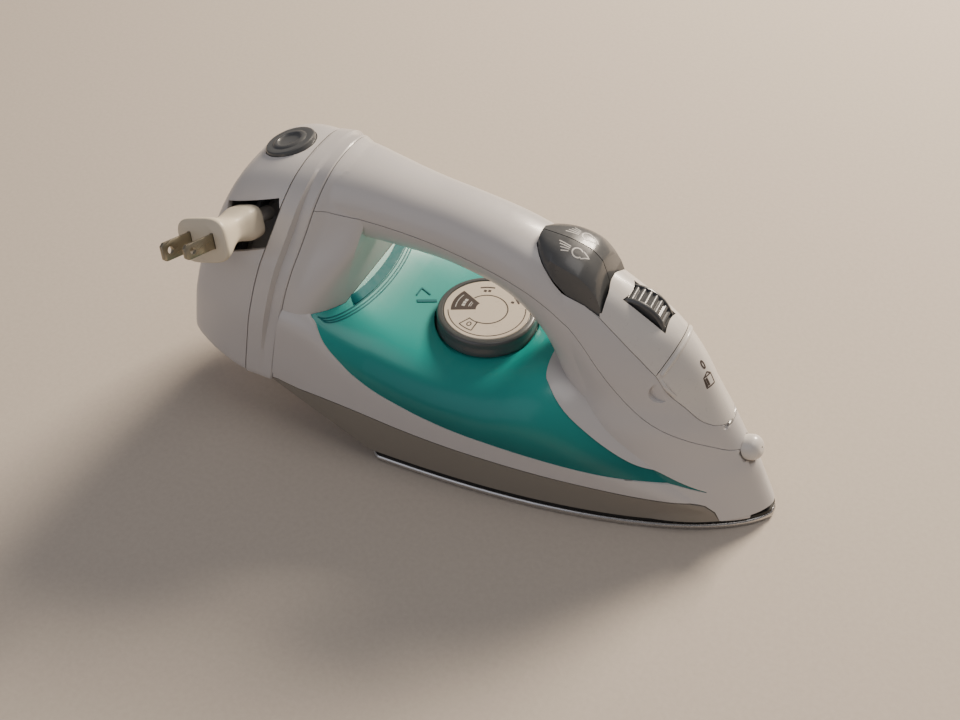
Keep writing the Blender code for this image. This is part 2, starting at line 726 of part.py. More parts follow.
def build_heel():
    ring_rows = ((-94.55, 31, 137.4, 1.0, 1.0), (-108.75, 31, 135.0, 1.0, 1.0))
    ring = loft("ring_form", [heel_ring(*row, -0.4) for row in ring_rows])
    bore_rows = ((-91, 31, 138.2, 1.0, 1.0), (-113, 31, 134.2, 1.0, 1.0))
    cut(ring, loft("ring_bore", [heel_ring(*row, WALL) for row in bore_rows]))
    finish(ring, "rear_ring", "shell_white")

    rows = [row for row in HEEL_BODY if row[0] <= -108.9]
    rows[0] = (-109.05, *rows[0][1:])
    cover = loft("cover_form", [heel_ring(*row, 0.0) for row in rows])
    inner = [(-100.5, 31, 137, 1.0, 1.0), *rows[:-2], (-137.2, 45.5, 116, 0.94, 0.94)]
    cut(cover, loft("cover_room", [heel_ring(*row, WALL) for row in inner]))
    cut(cover, slot_cutter())
    cut(cover, rod("rewind_hole", REWIND_CENTRE, REWIND_NORMAL, REWIND_RADIUS + 0.35, -14, 14, 32))
    for side in (-1, 1):
        spot = (seam_x(HEEL, 58), side * 37.0, 58.0)
        cut(cover, rod("screw_way", spot, tuple(-AXIS), 3.4, -9, 6, 16))
        screw = rod("screw_head", spot, tuple(-AXIS), 3.0, -3.6, -1.2, 16)
        join(screw, rod("screw_stem", spot, tuple(-AXIS), 1.6, -26, -3.4, 10))
        cut(screw, box("driver_slot", (spot[0] - 4, spot[1] - 0.5, spot[2] - 5), (spot[0] - 4 + 3.9, spot[1] + 0.5, spot[2] + 5)))
        finish(screw, "rear_screw_" + ("right" if side < 0 else "left"), "spring_steel")
    finish(cover, "rear_cover", "shell_white")

    plate = loft("plate_form", [heel_ring(s, 31, 131.5, 0.99, 0.97, WALL + 1.2, REAR_ARCH) for s in (-103.2, -101)])
    axle_hole = rod("axle_hole", reel_spot(), AXIS, 4.3, *on_reel(-110, -90), 18)
    window = box("wire_window", (-120, -10, 104), (-60, 10, 118))
    cut(plate, axle_hole, window)
    finish(plate, "reel_plate", "inner_grey")


def slot_cutter():
    """The plug's slot, cut square to the shoulder."""
    out = Vector(PLUG_OUT).normalized()
    side = (Vector(PLUG_SIDE) - out * Vector(PLUG_SIDE).dot(out)).normalized()
    up = out.cross(side)
    centre = Vector((-103.0, -37.2, 112.6))
    bm = bmesh.new()
    bmesh.ops.create_cube(bm, size=1.0)
    bmesh.ops.scale(bm, verts=bm.verts, vec=Vector((27.0, 20.5, 32.0)) * MM)
    turn = Matrix((side, up, out)).transposed().to_4x4()
    bm.transform(Matrix.Translation(centre * MM) @ turn)
    return object_from(bm, "plug_slot")


def build_reel():
    spot = reel_spot()
    low, high = on_reel(-128.9, -108.7)
    inner_low, inner_high = on_reel(-127.3, -110.3)
    profile = [
        (HUB_RADIUS, inner_high), (REEL_RADIUS, inner_high), (REEL_RADIUS, high), (4.6, high),
        (4.6, low), (REEL_RADIUS, low), (REEL_RADIUS, inner_low), (HUB_RADIUS, inner_low),
    ]
    finish(turned("reel_form", profile, spot, AXIS, 32), "cord_reel", "inner_grey")
    a, b = inner_low + GAP, inner_high - GAP
    cord = [(HUB_RADIUS + 0.4, a), (26.5, a), (28.5, a + 3), (28.5, b - 3), (26.5, b), (HUB_RADIUS + 0.4, b)]
    finish(turned("cord_form", cord, spot, AXIS, 28), "wound_cord", "cord_white")
    a, b = on_reel(-134.4, -129.4)
    finish(turned("spring_form", [(6, a), (21, a), (21, b), (6, b)], spot, AXIS, 24), "reel_spring", "spring_steel")
    axle = rod("axle_form", spot, AXIS, 4.1, *on_reel(-135.0, -99.0), 18)
    finish(axle, "reel_axle", "spring_steel")


def rewind_place(offset):
    return Vector(REWIND_CENTRE) + Vector(REWIND_NORMAL).normalized() * offset


def build_rewind():
    profile = [(0, 1.5), (5.5, 1.3), (8.0, 1.0), (10.4, 0.9), (REWIND_RADIUS, 0.0), (REWIND_RADIUS, -5), (3.2, -5), (3.2, -11), (0, -11)]
    finish(turned("rewind_form", profile, REWIND_CENTRE, REWIND_NORMAL, 28), "rewind_button", "dark_grey")
    arm_top = rewind_place(-16.0)
    spring = coil("rewind_spring_form", rewind_place(-15.0), REWIND_NORMAL, 5.2, 9.4, 3, 0.5)
    finish(spring, "rewind_spring", "spring_steel")
    arm = box("arm_form", (arm_top.x - 9, -4.5, arm_top.z - 3.0), (arm_top.x + 6, 4.5, arm_top.z - 0.2))
    tilt = Matrix.Rotation(math.radians(-8), 4, "Y")
    pivot = Matrix.Translation(Vector(arm_top) * MM)
    arm.data.transform(pivot @ tilt @ pivot.inverted())
    finish(arm, "reel_brake", "inner_grey")


def plug_frame():
    out = Vector(PLUG_OUT).normalized()
    side = (Vector(PLUG_SIDE) - out * Vector(PLUG_SIDE).dot(out)).normalized()
    return side, out.cross(side), out


def plug_ring(run, wide, tall, power=3.2):
    side, up, out = plug_frame()
    ring = []
    for k in range(20):
        a = 2 * math.pi * k / 20
        c = math.cos(a)
        s = math.sin(a)
        u = wide / 2 * math.copysign(abs(c) ** (2 / power), c)
        v = tall / 2 * math.copysign(abs(s) ** (2 / power), s)
        ring.append(tuple(Vector(PLUG_ROOT) + side * u + up * v + out * run))
    return ring


def plug_box(name, low, high):
    side, up, out = plug_frame()
    made = box(name, low, high)
    turn = Matrix((side, up, out)).transposed().to_4x4()
    made.data.transform(Matrix.Translation(Vector(PLUG_ROOT) * MM) @ turn)
    return made


def build_plug():
    rows = ((-7, 14, 12), (-5.8, 16.5, 14.5), (-1, 17, 15), (1.5, 16.5, 14), (5.5, 14.5, 12.0), (9, 14.5, 11.5), (14, 19, 13.5), (19, 24.5, 17.5), (22.5, 26.5, 19.5), (24, 25.5, 18.5))
    body = loft("plug_form", [plug_ring(*row) for row in rows])
    face = rows[-1][0]
    for sign, name, tall in ((-1, "plug_blade_wide", 7.9), (1, "plug_blade_narrow", 6.35)):
        x = sign * BLADE_SPACING / 2
        cut(body, plug_box(name + "_pocket", (x - 1.0, -tall / 2 - 0.25, face - 5.3), (x + 1.0, tall / 2 + 0.25, face + 2)))
        blade = plug_box(name + "_form", (x - 0.75, -tall / 2, face - 5), (x + 0.75, tall / 2, face + BLADE_LENGTH))
        side, up, out = plug_frame()
        hole_at = Vector(PLUG_ROOT) + side * x + out * (face + BLADE_LENGTH - 4.4)
        cut(blade, rod(name + "_hole", hole_at, side, 1.6, -3, 3, 12))
        finish(blade, name, "blade_brass")
    finish(body, "plug_body", "plug_cream")
    side, up, out = plug_frame()
    root = Vector(PLUG_ROOT)
    finish(tube("lead_form", [root - out * d for d in (7.3, 11, 15, 19)], CORD_RADIUS), "cord_lead", "cord_white")


# ---------------------------------------------------------------- soleplate and heater
def build_sole():
    flat = prism("sole_form", sole_outline(0.6, -46.6), 0, SOLE_THICK, "XY")
    for k in range(6):
        x = 96 - 26 * k
        y = sole_half(x) * 0.72 - 2
        for side in (-1, 1):
            cut(flat, rod("vent", (x, side * y, 0), (0, 0, 1), 1.6, -2, 8, 8))
    cut(flat, rod("vent", (116, 0, 0), (0, 0, 1), 1.6, -2, 8, 8))
    finish(flat, "soleplate", "sole_steel")
    gasket = prism("gasket_form", sole_outline(2.0, -46.0), GASKET_LOW, GASKET_HIGH, "XY")
    cut(gasket, prism("gasket_room", sole_outline(7.0, -40.0), GASKET_LOW - 2, GASKET_HIGH + 2, "XY"))
    finish(gasket, "sole_gasket", "gasket_black")
    casting = prism("casting_form", sole_outline(13.0, -38.0), 5.9, 14, "XY")
    cut(casting, prism("chamber_room", sole_outline(30.0, 0.0), 8, 20, "XY"))
    finish(casting, "heater_casting", "cast_aluminium")
    arm = [(x, 18 - sole_half(x), 17) for x in range(-36, 97, 12)]
    radius = -arm[-1][1]
    turn = [(96 + radius * math.sin(math.radians(a)), -radius * math.cos(math.radians(a)), 17) for a in range(30, 180, 30)]
    path = arm + turn + [(x, -y, z) for x, y, z in reversed(arm)]
    finish(tube("element_form", path, 2.6), "heating_element", "spring_steel")
    plate = prism("chamber_form", sole_outline(27.5, -6.0), 14.3, 15.8, "XY")
    finish(plate, "steam_chamber_cover", "cast_aluminium")
    thermostat = turned("thermostat_form", [(0, 26.2), (4, 26.2), (9, 23), (9, 16.2), (0, 16.2)], (DIAL_X - 12, 0, 0), (0, 0, 1), 20)
    finish(thermostat, "thermostat", "inner_grey")


# ---------------------------------------------------------------- dial, wheel, pumps, funnel, nozzle
def build_dial():
    r = DIAL_RADIUS
    low = DIAL_SEAT + 0.2
    profile = [
        (r - 1.2, low), (r, low + 1.2), (r - 0.3, DIAL_TOP - 2.0), (r - 1.8, DIAL_TOP - 0.3), (DISC_RADIUS + 0.3, DIAL_TOP),
        (DISC_RADIUS + 0.3, DIAL_TOP - 1.6), (3.2, DIAL_TOP - 1.6), (3.2, low),
    ]
    finish(turned("dial_form", profile, (DIAL_X, 0, 0), (0, 0, 1), 40), "dial_ring", "dark_grey")
    disc = rod("disc_form", (DIAL_X, 0, 0), (0, 0, 1), DISC_RADIUS, DIAL_TOP - 1.3, DIAL_TOP - 0.2, 40)
    finish(disc, "dial_disc", "disc_champagne")
    shaft = rod("shaft_form", (DIAL_X, 0, 0), (0, 0, 1), 2.9, 27.0, DIAL_TOP - 1.9, 16)
    finish(shaft, "dial_shaft", "inner_grey")


def build_wheel():
    wheel = rod("wheel_form", (WHEEL_X, 0, WHEEL_Z), (0, 1, 0), WHEEL_RADIUS, -WHEEL_WIDTH / 2, WHEEL_WIDTH / 2, 36)
    cut(wheel, rod("wheel_bore", (WHEEL_X, 0, WHEEL_Z), (0, 1, 0), 2.4, -20, 20, 14))
    finish(wheel, "steam_wheel", "dark_grey")
    finish(rod("axle_form", (WHEEL_X, 0, WHEEL_Z), (0, 1, 0), 2.1, -9.5, 9.5, 14), "wheel_axle", "spring_steel")
    finish(rod("stem_form", (57, 0, 0), (0, 0, 1), 1.8, 17.5, 74.5, 12), "valve_stem", "inner_grey")


def build_pumps():
    for side, name in ((-1, "spray"), (1, "burst")):
        y = side * 8.2
        x = 33.0
        profile = [(0, 82), (2.6, 82), (2.6, 98), (5.4, 98), (5.4, 80), (3, 78), (0, 78)]
        barrel = turned(name + "_pump_form", profile, (x, y, 0), (0, 0, 1), 16)
        finish(barrel, name + "_pump", "trim_white")
        plunger = rod(name + "_plunger_form", (x, y, 0), (0, 0, 1), 2.1, 90, 111.5, 12)
        join(plunger, rod(name + "_flange", (x, y, 0), (0, 0, 1), 4.6, 109.6, 111.5, 12))
        finish(plunger, name + "_plunger", "inner_grey")
        finish(coil(name + "_spring_form", (x, y, 98.3), (0, 0, 1), 3.7, 11.0, 4, 0.45), name + "_spring", "spring_steel")


def build_nose_fittings():
    profile = [(3.2, 42), (4.0, 42), (4.0, 50), (6.8, 57), (6.8, 60), (6.0, 60), (6.0, 57.4), (3.2, 50.4)]
    finish(turned("funnel_form", profile, (86, 0, 0), (0, 0, 1), 20), "filler_funnel", "trim_white")
    profile = [(3.5, 60.3), (6.6, 60.3), (6.6, 61.6), (3.5, 61.6)]
    finish(turned("seal_form", profile, (86, 0, 0), (0, 0, 1), 20), "filler_seal", "gasket_black")
    finish(rod("pin_form", HINGE, (0, 1, 0), 0.7, -4.5, 4.5, 10), "door_hinge_pin", "spring_steel")
    profile = [(0, 5.2), (2.4, 5.2), (2.4, 6.2), (4.2, 5.6), (5.6, 3.6), (5.8, 1.0), (5.8, -9), (0, -9)]
    finish(turned("nozzle_form", profile, NOZZLE, NOZZLE_AXIS, 24), "spray_nozzle", "trim_white")
    finish(box("terminal_form", (-84, -11, 62), (-70, 11, 76)), "terminal_block", "inner_grey")


build_casings()
build_heel()
build_reel()
build_rewind()
build_plug()
build_sole()
build_dial()
build_wheel()
build_pumps()
build_nose_fittings()
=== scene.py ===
"""The steam iron's visible surfaces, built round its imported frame."""

import json
import math

import bmesh
import bpy
import numpy as np
from mathutils import Matrix, Vector
from mathutils.bvhtree import BVHTree

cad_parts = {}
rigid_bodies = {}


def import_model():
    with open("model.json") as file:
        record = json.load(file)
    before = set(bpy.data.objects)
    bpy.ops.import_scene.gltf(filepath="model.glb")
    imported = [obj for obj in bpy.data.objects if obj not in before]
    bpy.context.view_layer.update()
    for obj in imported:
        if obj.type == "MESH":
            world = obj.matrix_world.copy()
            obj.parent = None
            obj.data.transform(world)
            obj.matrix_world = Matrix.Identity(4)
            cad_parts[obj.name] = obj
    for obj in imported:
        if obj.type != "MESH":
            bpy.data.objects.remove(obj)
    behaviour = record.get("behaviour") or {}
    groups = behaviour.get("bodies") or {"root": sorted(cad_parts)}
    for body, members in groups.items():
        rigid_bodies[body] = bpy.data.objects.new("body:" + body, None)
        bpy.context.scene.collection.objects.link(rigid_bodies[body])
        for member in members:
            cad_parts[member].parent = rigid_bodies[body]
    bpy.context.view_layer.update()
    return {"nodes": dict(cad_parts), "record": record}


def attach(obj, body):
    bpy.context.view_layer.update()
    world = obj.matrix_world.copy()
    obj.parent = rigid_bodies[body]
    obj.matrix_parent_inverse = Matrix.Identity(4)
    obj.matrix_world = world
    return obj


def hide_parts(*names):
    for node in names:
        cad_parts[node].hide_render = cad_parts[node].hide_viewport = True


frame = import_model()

bpy.ops.object.select_all(action="DESELECT")

# ---------------------------------------------------------------- sizes, in millimetres
MM = 0.001
HALF_GAP = 0.2
WALL = 2.4

TIP_X = 135.5
SOLE_LENGTH = 182.0
SOLE_HALF = 48.5
GASKET_LOW = 3.6
GASKET_HIGH = 5.5
SKIRT_LOW = 5.8

SEAM_SLOPE = 0.207
SEAM_Z = 35.0
FRONT_SEAM = -94.4
HEEL = -140.0

DIAL_X = -8.0
DIAL_RADIUS = 23.0
DISC_RADIUS = 19.4
DIAL_SEAT = 61.2
DIAL_TOP = 70.0

BUTTON_TRAVEL = 3.0
WHEEL_X = 61.0
WHEEL_Z = 90.3
WHEEL_RADIUS = 14.3
WHEEL_WIDTH = 11.6

REWIND_CENTRE = (-102.4, 0.0, 133.2)
REWIND_NORMAL = (-0.30, 0.0, 0.954)
REWIND_RADIUS = 11.5

CORD_RADIUS = 3.3

PLUG_ROOT = (-106.8, -38.5, 113.2)
PLUG_OUT = (-0.13, -0.95, 0.28)
PLUG_SIDE = (0.92, -0.13, 0.36)
BLADE_SPACING = 12.7
BLADE_LENGTH = 17.0


# ---------------------------------------------------------------- working solids
WORK = bpy.data.collections.new("working_solids")
SHOWN = bpy.data.collections.new("iron_surfaces")
bpy.context.scene.collection.children.link(WORK)
bpy.context.scene.collection.children.link(SHOWN)


def object_from(bm, name):
    bmesh.ops.recalc_face_normals(bm, faces=bm.faces)
    if bm.calc_volume(signed=True) < 0:
        bmesh.ops.reverse_faces(bm, faces=bm.faces)
    mesh = bpy.data.meshes.new(name)
    bm.to_mesh(mesh)
    bm.free()
    made = bpy.data.objects.new(name, mesh)
    WORK.objects.link(made)
    return made


def bake(made):
    """Turn an object's modifiers into its mesh."""
    bpy.context.view_layer.update()
    evaluated = made.evaluated_get(bpy.context.evaluated_depsgraph_get())
    mesh = bpy.data.meshes.new_from_object(evaluated)
    made.modifiers.clear()
    made.data = mesh
    return made


def combine(target, other, operation):
    step = target.modifiers.new(operation.lower(), "BOOLEAN")
    step.operation = operation
    step.solver = "EXACT"
    step.object = other
    bake(target)
    bm = bmesh.new()
    bm.from_mesh(target.data)
    bmesh.ops.remove_doubles(bm, verts=bm.verts, dist=0.0000005)
    bmesh.ops.triangulate(bm, faces=bm.faces)
    bm.to_mesh(target.data)
    bm.free()
    return target


def cut(target, *cutters):
    for cutter in cutters:
        combine(target, cutter, "DIFFERENCE")
    return target


def keep(target, region):
    return combine(target, region, "INTERSECT")


def join(target, *others):
    for other in others:
        combine(target, other, "UNION")
    return target


def copy_of(source, name):
    made = source.copy()
    made.data = source.data.copy()
    made.name = name
    WORK.objects.link(made)
    return made


def largest_body(made):
    """Drop the slivers that a cut leaves beside the piece itself."""
    bm = bmesh.new()
    bm.from_mesh(made.data)
    bmesh.ops.remove_doubles(bm, verts=bm.verts, dist=0.000004)
    bmesh.ops.dissolve_degenerate(bm, edges=bm.edges, dist=0.000002)
    left = set(bm.verts)
    bodies = []
    while left:
        found = {left.pop()}
        fringe = set(found)
        while fringe:
            reached = {e.other_vert(v) for v in fringe for e in v.link_edges}
            fringe = reached & left
            left -= fringe
            found |= fringe
        bodies.append(found)
    bodies.sort(key=len)
    loose = [v for body in bodies[:-1] for v in body]
    bmesh.ops.delete(bm, geom=loose, context="VERTS")
    bm.to_mesh(made.data)
    bm.free()
    return made


def show(made, name, finish, body="iron_body", replaces=(), whole=True, angle=32):
    """A working solid becomes a visible piece that rides on a body."""
    if whole:
        largest_body(made)
    made.name = name
    made.data.name = name
    made.data.materials.clear()
    made.data.materials.append(finish)
    made.data.shade_smooth()
    made.data.set_sharp_from_angle(angle=math.radians(angle))
    WORK.objects.unlink(made)
    SHOWN.objects.link(made)
    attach(made, body)
    if replaces:
        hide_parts(*replaces)
    return made


# ---------------------------------------------------------------- shape helpers, in millimetres
def through(*points):
    """A smooth curve value = f(position) through points, without overshoot."""
    xs = np.array([p[0] for p in points], float)
    ys = np.array([p[1] for p in points], float)
    rise = np.diff(ys) / np.diff(xs)
    slope = np.zeros(len(xs))
    slope[0] = rise[0]
    slope[-1] = rise[-1]
    for i in range(1, len(xs) - 1):
        if rise[i - 1] * rise[i] > 0:
            slope[i] = 2 * rise[i - 1] * rise[i] / (rise[i - 1] + rise[i])

    def value(x):
        x = min(max(x, xs[0]), xs[-1])
        i = min(max(int(np.searchsorted(xs, x)) - 1, 0), len(xs) - 2)
        step = xs[i + 1] - xs[i]
        t = (x - xs[i]) / step
        a = (1 + 2 * t) * (1 - t) ** 2 * ys[i] + t * (1 - t) ** 2 * step * slope[i]
        b = t * t * (3 - 2 * t) * ys[i + 1] + t * t * (t - 1) * step * slope[i + 1]
        return a + b

    return value


def loft(name, rings):
    """A closed solid through rings that have the same number of points."""
    bm = bmesh.new()
    rows = [[bm.verts.new(Vector(p) * MM) for p in ring] for ring in rings]
    count = len(rings[0])
    for row, after in zip(rows, rows[1:]):
        for i in range(count):
            j = (i + 1) % count
            bm.faces.new((row[i], row[j], after[j], after[i]))
    bm.faces.new(rows[0][::-1])
    bm.faces.new(rows[-1])
    return object_from(bm, name)


def prism(name, outline, low=-90.0, high=90.0, plane="XZ"):
    """A flat outline pushed along the axis that it doesn't have."""
    bm = bmesh.new()
    if plane == "XZ":
        points = [(a, low, b) for a, b in outline]
        push = Vector((0, high - low, 0)) * MM
    else:
        points = [(a, b, low) for a, b in outline]
        push = Vector((0, 0, high - low)) * MM
    face = bm.faces.new([bm.verts.new(Vector(p) * MM) for p in points])
    swept = bmesh.ops.extrude_face_region(bm, geom=[face])
    moved = [g for g in swept["geom"] if isinstance(g, bmesh.types.BMVert)]
    bmesh.ops.translate(bm, verts=moved, vec=push)
    return object_from(bm, name)


def box(name, low, high):
    bm = bmesh.new()
    bmesh.ops.create_cube(bm, size=1.0)
    size = [b - a for a, b in zip(low, high)]
    centre = [(a + b) / 2 for a, b in zip(low, high)]
    bmesh.ops.scale(bm, verts=bm.verts, vec=Vector(size) * MM)
    bmesh.ops.translate(bm, verts=bm.verts, vec=Vector(centre) * MM)
    return object_from(bm, name)


def along(centre, axis):
    """The place and turn of a piece whose own +Z lies along an axis."""
    turn = Vector((0, 0, 1)).rotation_difference(Vector(axis).normalized())
    return Matrix.Translation(Vector(centre) * MM) @ turn.to_matrix().to_4x4()


def rod(name, centre, axis, radius, low, high, sides=20):
    """A round bar from low to high along an axis through a centre."""
    bm = bmesh.new()
    bmesh.ops.create_cone(
        bm,
        cap_ends=True,
        segments=sides,
        radius1=radius * MM,
        radius2=radius * MM,
        depth=(high - low) * MM,
    )
    bmesh.ops.translate(bm, verts=bm.verts, vec=Vector((0, 0, (low + high) / 2 * MM)))
    bm.transform(along(centre, axis))
    return object_from(bm, name)


def turned(name, profile, centre=(0, 0, 0), axis=(0, 0, 1), sides=96):
    """A closed profile of (radius, height) points turned round an axis."""
    rings = []
    for k in range(sides):
        a = 2 * math.pi * k / sides
        rings.append([(r * math.cos(a), r * math.sin(a), h) for r, h in profile])
    bm = bmesh.new()
    rows = [[bm.verts.new(Vector(p) * MM) for p in ring] for ring in rings]
    count = len(profile)
    for row, after in zip(rows, rows[1:] + rows[:1]):
        for i in range(count):
            j = (i + 1) % count
            if profile[i][0] == 0 and profile[j][0] == 0:
                continue
            bm.faces.new((row[i], row[j], after[j], after[i]))
    bmesh.ops.remove_doubles(bm, verts=bm.verts, dist=0.000002)
    bm.transform(along(centre, axis))
    return object_from(bm, name)


def tube(name, points, radius, sides=12):
    """A round wire along points, with closed ends."""
    data = bpy.data.curves.new(name, "CURVE")
    data.dimensions = "3D"
    data.bevel_depth = radius * MM
    data.bevel_resolution = sides // 4
    data.use_fill_caps = True
    line = data.splines.new("POLY")
    line.points.add(len(points) - 1)
    for spot, p in zip(line.points, points):
        spot.co = (*(Vector(p) * MM), 1.0)
    wire = bpy.data.objects.new(name, data)
    WORK.objects.link(wire)
    bpy.context.view_layer.update()
    evaluated = wire.evaluated_get(bpy.context.evaluated_depsgraph_get())
    bm = bmesh.new()
    bm.from_mesh(bpy.data.meshes.new_from_object(evaluated))
    bmesh.ops.remove_doubles(bm, verts=bm.verts, dist=0.000002)
    bpy.data.objects.remove(wire)
    return object_from(bm, name)


def tree_of(made):
    """A search tree of an object's surface, in metres."""
    bm = bmesh.new()
    bm.from_mesh(made.data)
    found = BVHTree.FromBMesh(bm)
    bm.free()
    return found


def drape(name, strips, surface, start, thrust, lift=0.1):
    """Thin printed or moulded strips, or strips of painted shade, laid on a surface.

    A strip is (points, width): its points are cast from a start along a thrust, in millimetres.
    """
    bm = bmesh.new()
    for points, width in strips:
        rows = []
        for i, p in enumerate(points):
            before = Vector(points[max(i - 1, 0)])
            after = Vector(points[min(i + 1, len(points) - 1)])
            side = (after - before).cross(Vector(thrust)).normalized() * (width / 2)
            row = []
            for shift in (-1, 1):
                origin = (Vector(p) + side * shift + Vector(start)) * MM
                hit, normal, _, _ = surface.ray_cast(origin, Vector(thrust))
                if hit is None:
                    row = []
                    break
                if normal.dot(Vector(thrust)) > 0:
                    normal = -normal
                row.append((hit + normal * lift * MM, hit - normal * 0.05 * MM))
            if row:
                rows.append([bm.verts.new(v) for pair in row for v in pair])
        for row, next_row in zip(rows, rows[1:]):
            for i, j in ((0, 2), (2, 3), (3, 1), (1, 0)):
                bm.faces.new((row[i], row[j], next_row[j], next_row[i]))
        if rows:
            for row in (rows[0], rows[-1]):
                bm.faces.new((row[0], row[2], row[3], row[1]))
    return object_from(bm, name)


def finely(points, step=0.5):
    """Points put in along straight runs."""
    out = []
    for a, b in zip(points, points[1:]):
        a, b = Vector(a), Vector(b)
        count = max(int((b - a).length / step), 1)
        out += [tuple(a.lerp(b, i / count)) for i in range(count)]
    return out + [tuple(points[-1])]


# ---------------------------------------------------------------- the iron's outer forms
hull_top = through(
    (-100, 84), (-73, 80), (-60, 73.5), (-40, 67), (-20, 62.8), (-8, 61.6), (10, 62), (22, 66),
    (32, 68), (42, 66.5), (52, 62), (65, 55), (80, 45), (95, 33), (108, 22), (118, 13),
    (126, 9),
)
hull_power = through((-100, 8.0), (-73, 7.0), (-55, 5.2), (-30, 4.0), (20, 3.1), (65, 2.3), (132, 2.0))
hull_extra = through((-100, 2.6), (-50, 1.8), (20, 0.4), (60, 0.0))


def sole_half(x):
    """Half the soleplate's width, from the law of its pointed outline."""
    run = min(max((TIP_X - x) / (SOLE_LENGTH + 3), 0.0), 1.0)
    return SOLE_HALF * (1 - (1 - run) ** 2.4) ** 0.62


def hull_low(x):
    """The underside rises behind the soleplate."""
    return SKIRT_LOW + max(0.0, -46.6 - x) * 0.532


def hull_ring(x, inset):
    half = max(sole_half(x) + hull_extra(x) - inset, 0.6)
    foot = max(min(sole_half(x), half) - 0.4 * min(inset, 1.0), 0.5)
    low = hull_low(x)
    if inset > 0:
        low = low + inset if x < -47 else SKIRT_LOW - 2.0
    top = max(hull_top(x) - inset, low + 1.0)
    shoulder = low + 0.42 * (top - low)
    power = 2 / hull_power(x)
    rise = shoulder - low
    side = [(0.0, low), (foot * 0.93, low), (foot, low + min(1.6, 0.2 * rise)), (half, low + 0.5 * rise)]
    for k in range(29):
        a = math.radians(90 * k / 28)
        across = half * abs(math.cos(a)) ** power
        side.append((across, shoulder + (top - shoulder) * math.sin(a) ** power))
    side[-1] = (0.0, top)
    ring = [(x, -y, z) for y, z in side]
    return ring + [(x, y, z) for y, z in side[-2:0:-1]]


def hull(name, inset):
    stations = [-104, -96, -88, -80, -72, -64, -56, -50, -47, *np.arange(-46.4, 124, 3.0)]
    stations.append(126.5 - 0.6 * inset)
    return loft(name, [hull_ring(x, inset) for x in stations])


nose_back = through((8, 42), (35, 37), (50, 35), (65, 32), (76, 27), (90, 16), (100, 8), (118, 4))
nose_front = through(
    (8, 133.6), (20.6, 127.6), (29, 123.8), (37, 118.5), (47, 112.5), (57, 106.4), (66, 101), (76, 95.2),
    (85, 88.6), (91.5, 82.2), (99, 70.6), (106, 58.4), (111, 48.4), (114.5, 40.4), (118, 24),
)
nose_half = through(
    (8, 34), (20, 32), (35, 29.5), (50, 28.5), (65, 24.5), (76, 23.2), (90, 20.5), (99, 18.6),
    (106, 16.4), (111, 13), (114.5, 9.5), (118, 4),
)
nose_round = through((8, 1.62), (40, 1.7), (70, 1.85), (90, 2.0), (118, 2.1))


def nose_ring(z, inset):
    back = nose_back(z) + inset
    front = nose_front(z) - inset * 1.1
    half = max(nose_half(z) - inset, 0.8)
    middle = back + 0.38 * (front - back)
    sharp = 2 / nose_round(z)
    side = []
    for k in range(20):
        a = math.radians(90 * k / 20)
        side.append((middle + (front - middle) * math.cos(a) ** sharp, half * math.sin(a) ** sharp))
    for k in range(17):
        a = math.radians(90 + 90 * k / 16)
        side.append((middle + (middle - back) * math.cos(a), half * math.sin(a)))
    side[-1] = (back, 0.0)
    ring = [(x, -y, z) for x, y in side]
    return ring + [(x, y, z) for x, y in side[-2:0:-1]]


def nose(name, inset):
    levels = [*np.arange(8, 116.5, 2.5), 118 - inset]
    return loft(name, [nose_ring(z, inset) for z in levels])


# Stations of the handle: centre x and z, half depth in the side view, half width.
HANDLE_PATH = (
    (-84, 118.6, 17.8, 24), (-70, 118.6, 17.7, 22.5), (-58, 117.9, 17.0, 20.4), (-46, 116.8, 16.1, 19.0),
    (-34, 115.8, 15.2, 18.1), (-21, 114.8, 14.7, 17.6), (-7, 112.7, 14.6, 17.8),
    (6, 109.6, 14.9, 18.2), (19, 104.0, 15.6, 19.0), (30.5, 95.0, 15.6, 20.2),
    (39.5, 83.0, 15.6, 21.2), (46.5, 69.0, 15.6, 22.5), (52.0, 54.0, 15.6, 24.0),
)


def smooth_rows(rows, steps):
    """Rows put in between rows on one smooth curve."""
    rows = [np.array(row, float) for row in rows]
    out = []
    for i in range(len(rows) - 1):
        p0, p1, p2 = rows[max(i - 1, 0)], rows[i], rows[i + 1]
        p3 = rows[min(i + 2, len(rows) - 1)]
        for k in range(steps):
            t = k / steps
            row = 2 * p1 + (p2 - p0) * t + (2 * p0 - 5 * p1 + 4 * p2 - p3) * t * t
            row = row + (3 * p1 - p0 - 3 * p2 + p3) * t ** 3
            out.append(tuple(row / 2))
    return [*out, tuple(rows[-1])]


def handle(name, inset):
    rings = []
    path = smooth_rows(HANDLE_PATH, 5)
    last = len(path) - 1
    for i, (x, z, deep, wide) in enumerate(path):
        before = path[max(i - 1, 0)]
        after = path[min(i + 1, last)]
        run = Vector((after[0] - before[0], after[1] - before[1])).normalized()
        ring = []
        for k in range(56):
            a = 2 * math.pi * k / 56
            c = math.cos(a)
            s = math.sin(a)
            across = (wide - inset) * math.copysign(abs(c) ** 0.9, c)
            lift = (deep - inset) * math.copysign(abs(s) ** 0.9, s)
            ring.append((x - run.y * lift, across, z + run.x * lift))
        rings.append(ring)
    return loft(name, rings)


